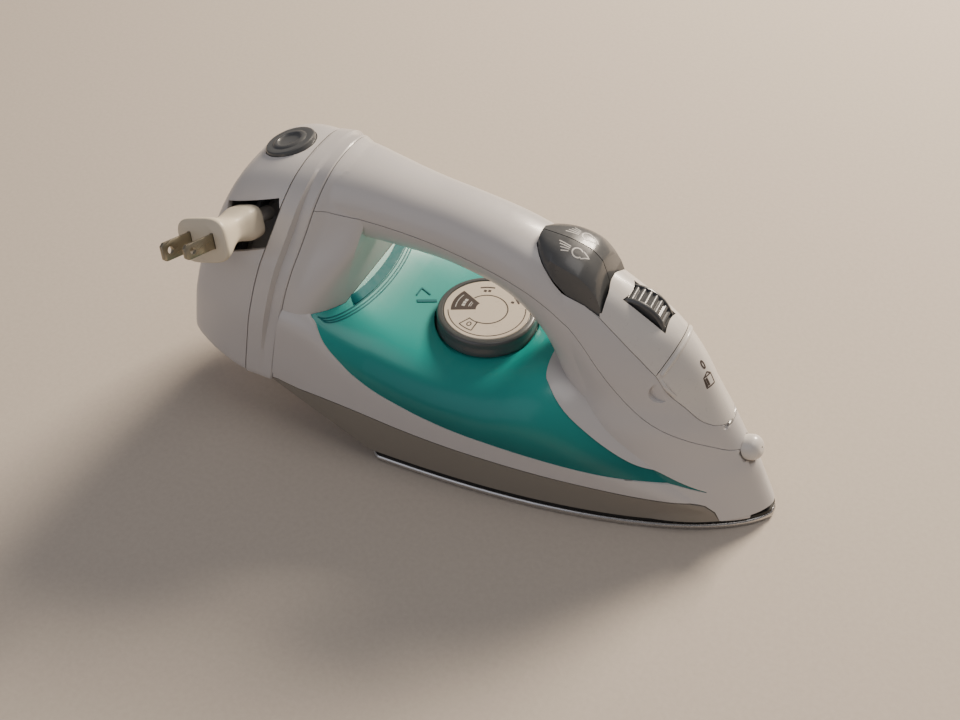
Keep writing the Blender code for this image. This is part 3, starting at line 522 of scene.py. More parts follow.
# Half width of the two seams' sections, over their height from 0 at the bottom to 1 at the top.
FRONT_ARCH = through(
    (0, 43), (0.015, 47.2), (0.045, 50), (0.23, 49.6), (0.38, 48), (0.525, 45.3), (0.63, 41), (0.69, 36.8),
    (0.77, 31.6), (0.865, 26.2), (0.93, 20.5), (0.978, 13.5), (0.995, 7), (1, 2),
)
REAR_ARCH = through(
    (0, 43), (0.015, 47.2), (0.045, 49.8), (0.12, 50.3), (0.36, 50.6), (0.5, 48.8), (0.64, 44.8),
    (0.72, 39.8),
    (0.795, 34.5), (0.885, 28.3), (0.955, 20.5), (0.982, 14.5), (0.995, 9), (1, 3),
)
SECTION_STEPS = (
    0, 0.007, 0.015, 0.03, 0.045, *np.linspace(0.07, 0.93, 36), 0.945, 0.96, 0.972, 0.983, 0.99, 0.995, 1,
)


def seam_x(station, z):
    """Where a plane parallel to the ring's seams stands at a height."""
    return station + SEAM_SLOPE * (z - SEAM_Z)


def heel_ring(station, low, high, scale_low, scale_high, inset, arch=None):
    arch = arch or (FRONT_ARCH if station > -100 else REAR_ARCH)
    side = []
    for t in SECTION_STEPS:
        z = low + inset + (high - low - 2 * inset) * t
        blend = min(max((t - 0.4) / 0.4, 0.0), 1.0)
        blend = blend * blend * (3 - 2 * blend)
        scale = scale_low + (scale_high - scale_low) * blend
        side.append((max(arch(t) * scale - inset, 1.0), z))
    ring = [(seam_x(station, z), -y, z) for y, z in side]
    return ring + [(seam_x(station, z), y, z) for y, z in reversed(side)]


# Stations of the post between the ring and the handle: plane, bottom, top, lower and upper width.
POST = (
    (-99, 31, 137.6, 1.0, 1.0), (-94.4, 31, 137.4, 1.0, 1.0), (-90, 32, 136.6, 0.99, 0.90),
    (-86, 36, 135.7, 0.96, 0.84), (-82, 40, 135.0, 0.90, 0.79), (-78, 44, 134.2, 0.79, 0.75),
    (-75, 47, 133.5, 0.67, 0.71), (-73, 50, 133.0, 0.56, 0.66),
)
# Stations of the heel behind the ring, the same way.
HEEL_BODY = (
    (-108.9, 31.0, 135.0, 1.0, 1.0), (-114, 32.5, 134.8, 1.0, 1.02), (-120, 35, 133.9, 0.995, 1.03),
    (-126, 38.0, 131.9, 0.985, 1.03), (-131, 41, 129.3, 0.97, 1.02), (-135.5, 44, 125.4, 0.95, 1.0),
    (-138.6, 47, 119.8, 0.925, 0.96), (HEEL, 49.5, 113.0, 0.89, 0.92),
)


def post(name, inset):
    rows = smooth_rows([(s - (inset if s == POST[-1][0] else 0), *rest) for s, *rest in POST], 3)
    return loft(name, [heel_ring(*row, inset, FRONT_ARCH) for row in rows])


def seam_slab(name, low, high):
    """The space between two planes parallel to the ring's seams."""
    a = (seam_x(low, -20), -20)
    b = (seam_x(high, -20), -20)
    c = (seam_x(high, 170), 170)
    d = (seam_x(low, 170), 170)
    return prism(name, [a, b, c, d])


# ---------------------------------------------------------------- outlines in the side view
SKIRT_SEAM = (
    (-110, 39.5), (-94, 36.2), (-71, 34.7), (-50, 32.7), (-28, 29.8), (-8, 27.6), (15, 25.8), (38, 24.1),
    (60, 22.4), (81, 20.3), (94, 18.9), (102, 18), (108, 16), (112.5, 12.4), (115.5, 7),
)
WINDOW_LOW = (
    (-74.5, 82), (-74, 78.5), (-69.6, 75), (-64, 67.5), (-57.7, 61), (-50.5, 54.8), (-41, 49.2),
    (-27.5, 44.4), (-13, 40.5), (1, 38), (15, 36.4), (37.5, 33.9), (59.5, 31.5), (80, 29.6),
    (92, 27.2), (101.5, 24.6), (107, 22.9),
)
WINDOW_HIGH = (
    (107.3, 23.4), (102, 25.6), (95, 28.8), (87, 32.6), (75.5, 37.3), (63, 44.4), (51.5, 52), (42.3, 58.7),
    (35, 63.8), (30.5, 66.2), (27.4, 69.5), (26, 74), (25.5, 80),
)
PARTING = (
    (-130, 131), (-78, 122.3), (-66, 119.9), (-44, 117.5), (-28, 115.4), (-12, 112.7), (2, 109.7),
    (16, 105.8), (27.6, 100.8), (37, 94.5), (44.5, 88), (52, 80), (60, 71.8), (67, 65.2), (74.5, 59.6),
    (83.5, 54.6), (94, 49.8), (104, 45.2), (113, 40.4), (120, 38.2), (140, 38.2),
)
COVER_SIDE = ((50.4, 100.4), (60.4, 93.2), (69.9, 85.7), (77.5, 79))
DOOR_SIDE = ((77.5, 79), (84.2, 70.5), (91, 64.3), (97.7, 58), (103.6, 54))
DOOR_PLANE = ((77.5, 79), (90.2, 106))
BUTTON_EDGE = (
    (18.2, 126.5), (19.6, 123.6), (23.6, 119.6), (30, 114.5), (37, 108.6), (44, 103.6), (50.2, 100),
)
BUTTON_FRONT = ((50.2, 100), (48.4, 108), (46.6, 113), (44.6, 118), (42.5, 128))


def shifted(outline, dx, dz):
    return [(x + dx, z + dz) for x, z in outline]


def saddle(name, grow, drop):
    """The form of the two buttons together: a ridged saddle over the handle's front end."""
    ridge = through((17, 124.9), (28, 124.2), (38.7, 121.6), (44, 117.6), (49, 111), (54, 104))
    half = through((17.5, 6), (20, 9.5), (24, 12.4), (30, 14.6), (37, 15.2), (44, 15.0), (54, 14.2))
    skirt_low = through((16, 118), (23, 114.5), (30, 109.5), (37, 104), (44, 98.5), (54, 91))
    rings = []
    for x in np.linspace(17.8 - grow, 50.5 + grow, 30):
        top = ridge(x) + grow
        wide = half(x) + grow
        brow = top - 5.5
        low = min(skirt_low(x), brow - 4) - drop
        side = [(wide, low), (wide, brow - 3), (wide * 0.94, brow + 1.2)]
        side += [(wide * 0.72, top - 1.7), (wide * 0.4, top - 0.4)]
        ring = [(x, -y, z) for y, z in side] + [(x, 0, top)] + [(x, y, z) for y, z in reversed(side)]
        rings.append(ring)
    return loft(name, rings)


# ---------------------------------------------------------------- finishes
class Value:
    """A number socket that Python's own signs work on."""

    def __init__(self, tree, socket):
        self.tree = tree
        self.socket = socket

    def sign(self, operation, other):
        node = self.tree.nodes.new("ShaderNodeMath")
        node.operation = operation
        for slot, value in zip(node.inputs, (self, other)):
            if isinstance(value, Value):
                self.tree.links.new(value.socket, slot)
            else:
                slot.default_value = value
        return Value(self.tree, node.outputs[0])

    def __add__(self, other):
        return self.sign("ADD", other)

    def __mul__(self, other):
        return self.sign("MULTIPLY", other)


class Finish:
    """A node material with one method that adds any node."""

    def __init__(self, name, **constants):
        self.material = bpy.data.materials.new(name + "_finish")
        self.material.use_nodes = True
        self.tree = self.material.node_tree
        self.shader = self.tree.nodes["Principled BSDF"]
        for label, value in constants.items():
            self.shader.inputs[label.replace("_", " ")].default_value = value

    def node(self, kind, out=0, **values):
        """A new node, its sockets given by name or as i and a number, and one of its outputs."""
        made = self.tree.nodes.new(kind)
        for label, value in values.items():
            numbered = label[0] == "i" and label[1:].isdigit()
            socket = made.inputs[int(label[1:]) if numbered else label.replace("_", " ")]
            if isinstance(value, Value):
                self.tree.links.new(value.socket, socket)
            else:
                socket.default_value = value
        return Value(self.tree, made.outputs[out])

    def place(self):
        return self.node("ShaderNodeTexCoord", out=3)

    def part(self, axis, place=None):
        """One of the place's three numbers, in metres."""
        return self.node("ShaderNodeSeparateXYZ", out=axis, i0=place or self.place())

    def noise(self, scale, detail=3.0, roughness=0.5, place=None):
        spot = place or self.place()
        return self.node("ShaderNodeTexNoise", Vector=spot, Scale=scale, Detail=detail, Roughness=roughness)

    def ramp(self, value, low, high, start=0.0, end=1.0):
        return self.node("ShaderNodeMapRange", out=0, i0=value, i1=low, i2=high, i3=start, i4=end)

    def mix(self, amount, first, second):
        made = self.tree.nodes.new("ShaderNodeMix")
        made.data_type = "RGBA"
        for index, value in ((0, amount), (6, first), (7, second)):
            if isinstance(value, Value):
                self.tree.links.new(value.socket, made.inputs[index])
            elif index:
                made.inputs[index].default_value = (*value, 1.0)
            else:
                made.inputs[index].default_value = value
        return Value(self.tree, made.outputs[2])

    def feed(self, label, value):
        self.tree.links.new(value.socket, self.shader.inputs[label])

    def bump(self, height, strength, distance=0.0002):
        self.feed("Normal", self.node("ShaderNodeBump", Strength=strength, Distance=distance, Height=height))


def moulded(name, colour, roughness, tone=0.05, grain=0.05, coat=0.0, scale=55.0, specular=0.5):
    """Moulded plastic: a faint flow of tone, a fine skin and a few rub marks in the gloss."""
    made = Finish(name, Coat_Weight=coat, Coat_Roughness=0.12, Specular_IOR_Level=specular)
    drift = made.noise(scale * 0.3, 2.0)
    dark = tuple(c * (1 - tone) for c in colour)
    light = tuple(min(c * (1 + tone), 1.0) for c in colour)
    made.feed("Base Color", made.mix(drift, dark, light))
    rub = made.noise(scale * 7, 4.0, 0.65)
    made.feed("Roughness", made.ramp(rub, 0.3, 0.75, roughness - 0.05, roughness + 0.08))
    made.bump(made.noise(scale * 60, 2.0), grain)
    return made.material


def clear_teal():
    """Clear tinted plastic with painted light: its colour is paler towards the front and the top, where the
    light falls.
    """
    made = Finish(
        "tank_teal", Roughness=0.27, IOR=1.42, Transmission_Weight=0.2, Coat_Weight=0.08, Coat_Roughness=0.15,
    )
    height = made.ramp(made.part(2), 0.036, 0.072)
    run = made.ramp(made.part(0), -0.07, 0.03)
    # painted light: the base colour runs from dark teal low down and at the rear to bright teal at the top
    # and front
    painted_light = made.ramp(height * 0.72 + run * 0.28, 0.18, 0.95)
    deep = made.mix(painted_light, (0.0, 0.13, 0.13), (0.03, 0.52, 0.46))
    cloud = made.noise(34.0, 2.0)
    made.feed("Base Color", made.mix(cloud * 0.25, deep, (0.01, 0.36, 0.33)))
    made.bump(made.noise(240.0, 2.0), 0.05)
    return made.material


def brushed(name, colour, roughness, stretch=(1.0, 60.0, 60.0)):
    """Metal with fine polishing lines along one way."""
    made = Finish(name, Metallic=1.0)
    lines = made.node("ShaderNodeMapping", i0=made.place(), Scale=stretch)
    fine = made.noise(30.0, 4.0, 0.6, lines)
    made.feed("Base Color", made.mix(fine, tuple(c * 0.85 for c in colour), colour))
    made.feed("Roughness", made.ramp(fine, 0.3, 0.7, roughness - 0.05, roughness + 0.1))
    made.bump(fine, 0.04)
    return made.material


SHELL = moulded("shell_white", (0.60, 0.575, 0.56), 0.33, 0.025, 0.035, coat=0.25)
TRIM = moulded("trim_white", (0.70, 0.665, 0.62), 0.3, 0.02, 0.03, coat=0.3)
TANK = clear_teal()
DARK = moulded("dark_grey", (0.085, 0.088, 0.09), 0.32, 0.02, 0.03, coat=0.3)
MATT_DARK = moulded("dark_grey_matt", (0.075, 0.07, 0.07), 0.45, 0.08, 0.1)
DISC = moulded("disc_champagne", (0.66, 0.58, 0.48), 0.3, 0.03, 0.03, coat=0.35)
PRINT = moulded("print_brown", (0.06, 0.045, 0.04), 0.45, 0.05, 0.03)
PALE_PRINT = moulded("print_pale", (0.55, 0.54, 0.52), 0.4, 0.05, 0.03)
SKIRT_FINISH = moulded("skirt_taupe", (0.25, 0.225, 0.19), 0.36, 0.03, 0.015, coat=0.15)
BLACK = moulded("gasket_black", (0.008, 0.008, 0.008), 0.6, 0.1, 0.1)
STEEL = brushed("sole_steel", (0.62, 0.61, 0.6), 0.22)
CAST = brushed("cast_aluminium", (0.5, 0.5, 0.5), 0.5, (6.0, 6.0, 6.0))
CREAM = moulded("plug_cream", (0.72, 0.64, 0.5), 0.42, 0.04, 0.06)
BRASS = brushed("blade_brass", (0.42, 0.38, 0.29), 0.3, (40.0, 4.0, 40.0))
INNER = moulded("inner_grey", (0.3, 0.3, 0.3), 0.55, 0.05, 0.08)
SPRING = brushed("spring_steel", (0.5, 0.5, 0.5), 0.35, (20.0, 20.0, 20.0))
LEAD = moulded("cord_white", (0.66, 0.62, 0.57), 0.5, 0.04, 0.1)
PLAIN = {
    "cast_aluminium": CAST, "inner_grey": INNER, "spring_steel": SPRING, "cord_white": LEAD,
    "gasket_black": BLACK, "trim_white": TRIM, "dark_grey": MATT_DARK, "shell_white": SHELL,
    "sole_steel": STEEL, "blade_brass": BRASS, "plug_cream": CREAM, "disc_champagne": DISC,
    "skirt_taupe": SKIRT_FINISH, "tank_teal": TANK,
}


def finish_hidden_nodes():
    """Inner pieces keep their own shape and take a real finish."""
    for row in frame["record"]["subparts"]:
        node = frame["nodes"][row["node"]]
        node.data.materials.clear()
        node.data.materials.append(PLAIN[row["material_slot"]])


# ---------------------------------------------------------------- casings
HINGE = (108.3, 0, 51.6)
NOZZLE = (118.5, 0, 37.0)
NOZZLE_AXIS = (0.92, 0, 0.39)


def outer_body(inset, name):
    """Hull, nose, handle and post as one solid."""
    others = nose("nose_" + name, inset), handle("handle_" + name, inset), post("post_" + name, inset)
    return join(hull(name, inset), *others)


def wheel_slot():
    """The thumbwheel's slot, a short round bar along the wheel's axle."""
    half = WHEEL_WIDTH / 2 + 0.9
    return rod("wheel_slot", (WHEEL_X, 0, WHEEL_Z), (0, 1, 0), WHEEL_RADIUS + 1.5, -half, half, 72)


def build_casings():
    body_space = seam_slab("body_space", FRONT_SEAM + HALF_GAP, 260)
    below_parting = prism("below_parting", [(-130, -20), *shifted(PARTING_FINE, 0, -HALF_GAP), (140, -20)])
    above_parting = prism("above_parting", [*shifted(PARTING_FINE, 0, HALF_GAP), (140, 190), (-130, 190)])
    above_seam = [*shifted(SEAM_FINE, 0, HALF_GAP * 1.6), (115.6, 2), (150, 2), (150, 190), (-110, 190)]
    above_skirt = prism("above_skirt", above_seam)
    below_skirt = prism("below_skirt", [(-110, -8), *shifted(SEAM_FINE, -0.2, -HALF_GAP), (115, -8)])
    window = prism("window", [*WINDOW_FINE, (24, 86), (-70, 86)])

    inside = outer_body(WALL, "inside")
    shell = cut(hull("open_hull", 0.0), window)
    join(shell, nose("n", 0.0), handle("h", 0.0), post("p", 0.0))
    cut(shell, inside, prism("window_tip", WINDOW_TIP))
    keep(shell, body_space)

    show(keep(copy_of(shell, "skirt_form"), below_skirt), "skirt_shell", SKIRT_FINISH, replaces=["skirt"])
    lower = keep(copy_of(shell, "lower_form"), above_skirt)
    keep(lower, below_parting)
    upper = keep(shell, above_parting)

    saddle_room = saddle("saddle_room", 0.35, 9.0)
    button_opening = prism("button_opening", [*BUTTON_EDGE, *BUTTON_FRONT[1:], (16.8, 135)])
    cover_space = [*COVER_SIDE, *DOOR_PLANE[1:], (60, 140), *BUTTON_FRONT[::-1][:-1]]
    door_space = [*finely(DOOR_SIDE_FINE, 2), (108.6, 52.0), (114, 51.6), (120, 107), DOOR_PLANE[1]]
    cover_cut = prism("cover_cut", cover_space)
    door_cut = prism("door_cut", door_space)

    nose_cover = keep(copy_of(upper, "cover_form"), cover_cut)
    door = keep(copy_of(upper, "door_form"), door_cut)
    cut(upper, saddle_room, button_opening)
    cover_margin = prism("cover_margin", grown(cover_space, 0.35))
    door_margin = prism("door_margin", grown(door_space, 0.35))
    hinge_gap = rod("hinge_gap", HINGE, (0, 1, 0), 1.3, -12, 12, 40)
    cut(upper, cover_margin, door_margin, hinge_gap, finger_dish(-1), finger_dish(1))
    cut(nose_cover, wheel_slot(), door_margin, saddle_room)
    cut(door, rod("pin_groove", HINGE, (0, 1, 0), 1.1, -12, 12, 24))
    nozzle_hole = rod("nozzle_hole", NOZZLE, NOZZLE_AXIS, 6.2, -16, 10, 48)
    cut(lower, nozzle_hole)
    cut(upper, nozzle_hole)
    show(lower, "lower_shell", SHELL, replaces=["lower_housing"])
    show(upper, "handle_shell", SHELL, replaces=["handle_cover"])
    show(nose_cover, "nose_shell", TRIM, replaces=["nose_cover"])
    show(door, "fill_door_shell", TRIM, "fill_door", replaces=["fill_door"])


def finger_dish(side):
    """A half-round hollow under the door's rear corner, for a fingertip."""
    spot = (80.6, side * 20.9, 71.6)
    return rod("finger_dish", spot, (0.0, 1.0, 0.0), 4.8, -2.6, 2.6, 48)


def smooth_line(points, steps=6):
    return smooth_rows(points, steps)


PARTING_FINE = smooth_line(PARTING)
SEAM_FINE = [*smooth_line(SKIRT_SEAM[:11]), *SKIRT_SEAM[11:]]
DOOR_SIDE_FINE = smooth_line(DOOR_SIDE)
WINDOW_FINE = [*smooth_line(WINDOW_LOW), *smooth_line(WINDOW_HIGH)]
WINDOW_TIP = [point for point in WINDOW_FINE if point[0] > 72]


def grown(outline, by):
    """An outline in the side view pushed outwards by a margin."""
    points = [Vector(p) for p in outline]
    area = sum(a.x * b.y - b.x * a.y for a, b in zip(points, points[1:] + points[:1]))
    turn = 1 if area > 0 else -1
    out = []
    for i, p in enumerate(points):
        before = (p - points[i - 1]).normalized()
        after = (points[(i + 1) % len(points)] - p).normalized()
        normal = Vector((before.y + after.y, -before.x - after.x)) * turn
        if normal.length < 0.1:
            normal = Vector((before.y, -before.x)) * turn
        normal.normalize()
        lean = max(normal.dot(Vector((before.y, -before.x)) * turn), 0.5)
        out.append(tuple(p + normal * by / lean))
    return out


# ---------------------------------------------------------------- tank
def build_tank():
    """The tinted tank: flush in the windows, with a thick rear rim and moulded lines behind it."""
    pane = prism("pane", [*WINDOW_FINE, (24, 85.6), (-70, 85.6)])
    skin = keep(hull("skin", 0.35), pane)
    cut(skin, nose("skin_nose", -0.3), post("skin_post", -0.3), handle("skin_handle", -0.3))
    cut(skin, hull("skin_room", 3.2))
    tip = keep(join(hull("tip_hull", 0.4), nose("tip_nose", 0.4)), prism("tip_space", WINDOW_TIP))
    join(skin, cut(tip, join(hull("tip_room", 3.2), nose("tip_nose_room", 3.2))))
    seat = rod("seat", (DIAL_X, 0, 0), (0, 0, 1), DIAL_RADIUS + 0.8, DIAL_SEAT - 0.4, 90, 96)
    cut(skin, seat)
    shown = show(skin, "tank_shell", TANK, replaces=["water_tank"], whole=False)
    surface = tree_of(shown)
    turns = np.linspace(-1, 1, 61) * math.pi / 2
    rear = [(-74.4 + 12.6 * math.cos(t) ** 1.15, 42.8 * math.sin(t), 0) for t in turns]
    rim = [(x + 1.7, y, 0) for x, y, _ in rear]
    show(drape("rim_form", [(rim, 4.0)], surface, (0, 0, 100), (0, 0, -1), 0.9), "tank_rim", RIM, whole=False)
    lines = [([(x + gap, y * 0.985, 0) for x, y, _ in rear], 0.5) for gap in (4.2, 5.6, 6.8)]
    show(drape("lines_form", lines, surface, (0, 0, 100), (0, 0, -1), 0.22), "tank_lines", RIM, whole=False)
    # painted shade: the wide dark bar stands for the shaded near side wall of the raised pointer; the thinner
    # strip draws the pointer's other edges in the same dark teal
    pointer_painted_shade = [
        (finely([(-40.6, -5.2, 0), (-33.4, 0.4, 0)]), 1.5),
        (finely([(-42.4, -2.2, 0), (-42.4, 3.2, 0), (-37.4, 1.9, 0)]), 0.7),
    ]
    pointer = drape("pointer_form", pointer_painted_shade, surface, (0, 0, 100), (0, 0, -1), 0.35)
    show(pointer, "tank_pointer_painted_shade", RIM, whole=False)
    floor = prism("inner_floor", vessel_outline(), 29.5, 31.5, "XY")
    show(floor, "tank_inner_floor", TANK_FLOOR)


def vessel_outline():
    """The tank's inner floor, inside the housing."""
    stations = np.linspace(-62, 92, 20)
    side = [(x, sole_half(x) * 0.9 - 3.2) for x in stations]
    return [(x, -y) for x, y in side] + [(x, y) for x, y in reversed(side)]


RIM = moulded("tank_rim", (0.0, 0.13, 0.14), 0.5, 0.05, 0.02, specular=0.15)
TANK_FLOOR = moulded("tank_floor", (0.05, 0.4, 0.36), 0.4, 0.05, 0.05)


# ---------------------------------------------------------------- dial
def disc_strip(radius, start, end, width):
    """A curved printed line on the dial, in degrees from +X."""
    count = max(int(abs(end - start) / 3), 2)
    angles = [math.radians(start + (end - start) * k / count) for k in range(count + 1)]
    return ([(DIAL_X + radius * math.cos(a), radius * math.sin(a), 0) for a in angles], width)


def disc_dot(radius, angle, size):
    a = math.radians(angle)
    x, y = DIAL_X + radius * math.cos(a), radius * math.sin(a)
    return ([(x - size / 2, y, 0), (x + size / 2, y, 0)], size)


def build_dial():
    r = DIAL_RADIUS
    low = DIAL_SEAT + 0.2
    top = DIAL_TOP
    profile = [(r - 1.2, low), (r - 0.4, low + 0.4), (r, low + 1.4)]
    profile += [(r - 0.25 * k, low + 1.4 + 1.4 * k) for k in (1, 2, 3)]
    for k in range(1, 8):
        a = math.radians(90 * k / 8)
        profile.append((r - 2.0 + 1.6 * math.cos(a), top - 1.7 + 1.6 * math.sin(a)))
    lip = DISC_RADIUS + 0.25
    profile += [(DISC_RADIUS + 0.6, top), (lip, top - 0.4), (lip, top - 1.7), (3.2, top - 1.7), (3.2, low)]
    ring = turned("ring_form", profile, (DIAL_X, 0, 0), sides=160)
    show(ring, "dial_ring_shell", DARK, "dial", ["dial_ring"], angle=40)
    d = DISC_RADIUS
    profile = [(0, top - 1.3), (d, top - 1.3), (d, top - 0.5), (d - 0.3, top - 0.2)]
    profile += [(d - 6, top - 0.12), (0, top - 0.1)]
    disc = turned("disc_form", profile, (DIAL_X, 0, 0), sides=128)
    show(disc, "dial_disc_shell", DISC, "dial", ["dial_disc"])
    surface = tree_of(disc)
    above = ((0, 0, 90), (0, 0, -1))
    ink = [disc_strip(17.4, 205, 385, 0.5), disc_strip(9.4, -95, 152, 0.6)]
    wedge = [disc_strip(radius, 180 - 26, 180 + 26, 0.82) for radius in np.arange(5.4, 16.6, 0.8)]
    ink += wedge
    ink += [disc_strip(15.4, 242, 268, 0.55), disc_strip(9.6, 240, 270, 0.55)]
    for angle in (242, 268):
        a = math.radians(angle)
        ends = [(DIAL_X + radius * math.cos(a), radius * math.sin(a), 0) for radius in (9.6, 15.4)]
        ink.append((finely(ends), 0.55))
    off = math.radians(255)
    middle = (DIAL_X + 12.4 * math.cos(off), 12.4 * math.sin(off))
    turns = np.linspace(0, 2 * math.pi, 25)
    zero = [(middle[0] + 0.9 * math.cos(t), middle[1] + 1.2 * math.sin(t), 0) for t in turns]
    ink.append((zero, 0.55))
    ink += [disc_dot(12.4, 109, 1.4), disc_dot(12.4, 118, 1.4), disc_dot(12.4, 46, 1.4)]
    ink += [disc_strip(14.8, 100, 126, 0.9), disc_strip(14.8, 38, 56, 0.9)]
    show(drape("ink_form", ink, surface, *above, 0.04), "dial_marks", PRINT, "dial", whole=False)
    pale = [disc_dot(11.0, angle, 1.4) for angle in (171, 180, 189)]
    pale += [disc_strip(14.2, 162, 198, 0.35), disc_strip(8.4, 168, 192, 0.35)]
    pale += [disc_strip(7.6, 170, 190, 0.25)]
    show(drape("pale_form", pale, surface, *above, 0.09), "dial_pale_marks", PALE_PRINT, "dial", whole=False)


# ---------------------------------------------------------------- buttons and thumbwheel
def build_buttons():
    edge = [(14, 135), (14, 121.5), (23, 115.6), (37, 105.2), (50, 95), (51, 100.5)]
    edge += shifted(BUTTON_FRONT[1:], -0.3, 0)
    whole = keep(saddle("whole_saddle", 0.0, 0.0), prism("button_edge", edge))
    back_of_front = [(14, 80), (47.5, 80), (47.5, 98), (45.5, 108)]
    back_of_front += [(43.6, 113), (41.4, 118), (39.5, 130), (14, 130)]
    cut(whole, keep(saddle("saddle_hollow", -1.8, 8.0), prism("hollow_edge", back_of_front)))
    for lift in (0.0, BUTTON_TRAVEL + 0.2):
        room = rod("wheel_room", (WHEEL_X, 0, WHEEL_Z + lift), (0, 1, 0), WHEEL_RADIUS + 1.6, -7.0, 7.0, 60)
        cut(whole, room)
    for side, name, key in ((-1, "spray_button", "spray_key"), (1, "burst_button", "burst_key")):
        half = copy_of(whole, name + "_form")
        near, far = sorted((side * 0.2, side * 40))
        keep(half, box(name + "_space", (0, near, 60), (80, far, 150)))
        shown = show(half, name + "_shell", DARK, key, [name], angle=38)
        surface = tree_of(shown)
        strokes = []
        for k in range(4):
            y = side * (3.4 + 1.5 * k)
            strokes.append((finely([(26.5 + 0.8 * k, y, 0), (32.0, side * (4.2 + 0.9 * k), 0)]), 0.5))
        turns = np.linspace(0.6, 5.6, 20)
        bow = [(35.5 + 2.2 * math.cos(t), side * (5.6 + 2.4 * math.sin(t)), 0) for t in turns]
        strokes.append((bow, 0.6))
        strokes.append((finely([(37.5, side * 3.6, 0), (40.5, side * 5.2, 0), (37.5, side * 7.6, 0)]), 0.5))
        mark = drape(name + "_mark_form", strokes, surface, (0, 0, 160), (0, 0, -1), 0.06)
        show(mark, name + "_mark", PALE_PRINT, key, whole=False)


SHOWN_RADIUS = WHEEL_RADIUS + 0.9


def build_wheel():
    """A thumbwheel with a ribbed rim between two smooth lips."""
    half = WHEEL_WIDTH / 2
    count = 30
    wheel_rings = []
    for y, drop in ((-half, 1.0), (-half + 0.5, 0.2), (-half + 0.9, 0.0), (-half + 1.5, 0.0)):
        wheel_rings.append((y, drop, False))
    wheel_rings += [(-half + 1.7, 0.35, True), (half - 1.7, 0.35, True)]
    for y, drop in ((half - 1.5, 0.0), (half - 0.9, 0.0), (half - 0.5, 0.2), (half, 1.0)):
        wheel_rings.append((y, drop, False))
    rings = []
    steps = count * 8
    for y, drop, ribbed in wheel_rings:
        ring = []
        for k in range(steps):
            a = 2 * math.pi * k / steps
            rib = 0.75 * (0.5 - 0.5 * math.cos(a * count)) ** 2 if ribbed else 0.0
            radius = SHOWN_RADIUS - drop - rib
            ring.append((WHEEL_X + radius * math.cos(a), y, WHEEL_Z + radius * math.sin(a)))
        rings.append(ring)
    wheel = loft("wheel_form", rings)
    for side in (-1, 1):
        face = (WHEEL_X, side * half, WHEEL_Z)
        cut(wheel, rod("wheel_dish", face, (0, 1, 0), SHOWN_RADIUS - 1.5, -0.6, 0.6, 80))
    cut(wheel, rod("wheel_bore", (WHEEL_X, 0, WHEEL_Z), (0, 1, 0), 2.4, -20, 20, 32))
    show(wheel, "steam_wheel_shell", DARK, "steam_wheel", ["steam_wheel"], angle=40)


# ---------------------------------------------------------------- heel
AXIS = Vector((1, 0, -SEAM_SLOPE)).normalized()


def plug_frame():
    out = Vector(PLUG_OUT).normalized()
    side = (Vector(PLUG_SIDE) - out * Vector(PLUG_SIDE).dot(out)).normalized()
    return side, out.cross(side), out


def framed(made, centre):
    side, up, out = plug_frame()
    turn = Matrix((side, up, out)).transposed().to_4x4()
    made.data.transform(Matrix.Translation(Vector(centre) * MM) @ turn)
    return made


def build_heel():
    rows = [(-94.4 - HALF_GAP, 31, 137.4, 1.0, 1.0), (-108.9 + HALF_GAP, 31, 135.0, 1.0, 1.0)]
    middle = [(s, 31, 137.4 - 2.4 * (-94.4 - s) / 14.5, 1.0, 1.0) for s in np.linspace(-95.2, -108.1, 12)]
    rings = [heel_ring(*rows[0], 0.1), *(heel_ring(*row, -0.4) for row in middle), heel_ring(*rows[1], 0.1)]
    ring = loft("ring_form", rings)
    bore_rows = ((-91, 31, 138.2, 1.0, 1.0), (-113, 31, 133.0, 1.0, 1.0))
    cut(ring, loft("ring_bore", [heel_ring(*row, WALL) for row in bore_rows]))
    show(ring, "rear_ring_shell", SHELL, replaces=["rear_ring"])

    heel_rows = smooth_rows([(-109.05, *HEEL_BODY[0][1:]), *HEEL_BODY[1:]], 5)
    heel_rings = [heel_ring(*row, 0.0, REAR_ARCH) for row in heel_rows]
    cover = loft("cover_form", heel_rings)
    inner = [(-100.5, 31, 137, 1.0, 1.0), *HEEL_BODY[:-2], (-137.2, 45.5, 116, 0.94, 0.94)]
    cut(cover, loft("cover_room", [heel_ring(*row, WALL, REAR_ARCH) for row in inner]))
    cut(cover, framed(box("slot_form", (-13.5, -10.25, -16), (13.5, 10.25, 16)), (-103.0, -37.2, 112.6)))
    cut(cover, rod("rewind_hole", REWIND_CENTRE, REWIND_NORMAL, REWIND_RADIUS + 0.35, -14, 14, 96))
    for side in (-1, 1):
        spot = (seam_x(HEEL, 58), side * 37.0, 58.0)
        cut(cover, rod("screw_way", spot, tuple(-AXIS), 3.4, -9, 6, 40))
    cut(cover, seat_dish())
    show(cover, "rear_cover_shell", SHELL, replaces=["rear_cover"])


def seat_dish():
    """The shallow seat under the plug's slot."""
    profile = [(0, -30), (60, -30), (60, -0.2), (0, -0.2)]
    return turned("dish_form", profile, (-108.0, -104.6, 92.0), (0.05, -0.98, 0.2), 120)


def build_rewind():
    r = REWIND_RADIUS
    profile = [
        (0, 0.3), (4.4, 0.25), (5.0, 0.5), (5.6, 1.2), (6.4, 1.35), (7.2, 1.1), (7.8, 0.6), (9.6, 0.75),
        (10.8, 0.6),
        (r - 0.2, 0.2), (r, -0.4), (r, -5), (3.2, -5), (3.2, -11), (0, -11),
    ]
    button = turned("rewind_form", profile, REWIND_CENTRE, REWIND_NORMAL, 128)
    show(button, "rewind_button_shell", DARK, "rewind_key", ["rewind_button"], angle=30)


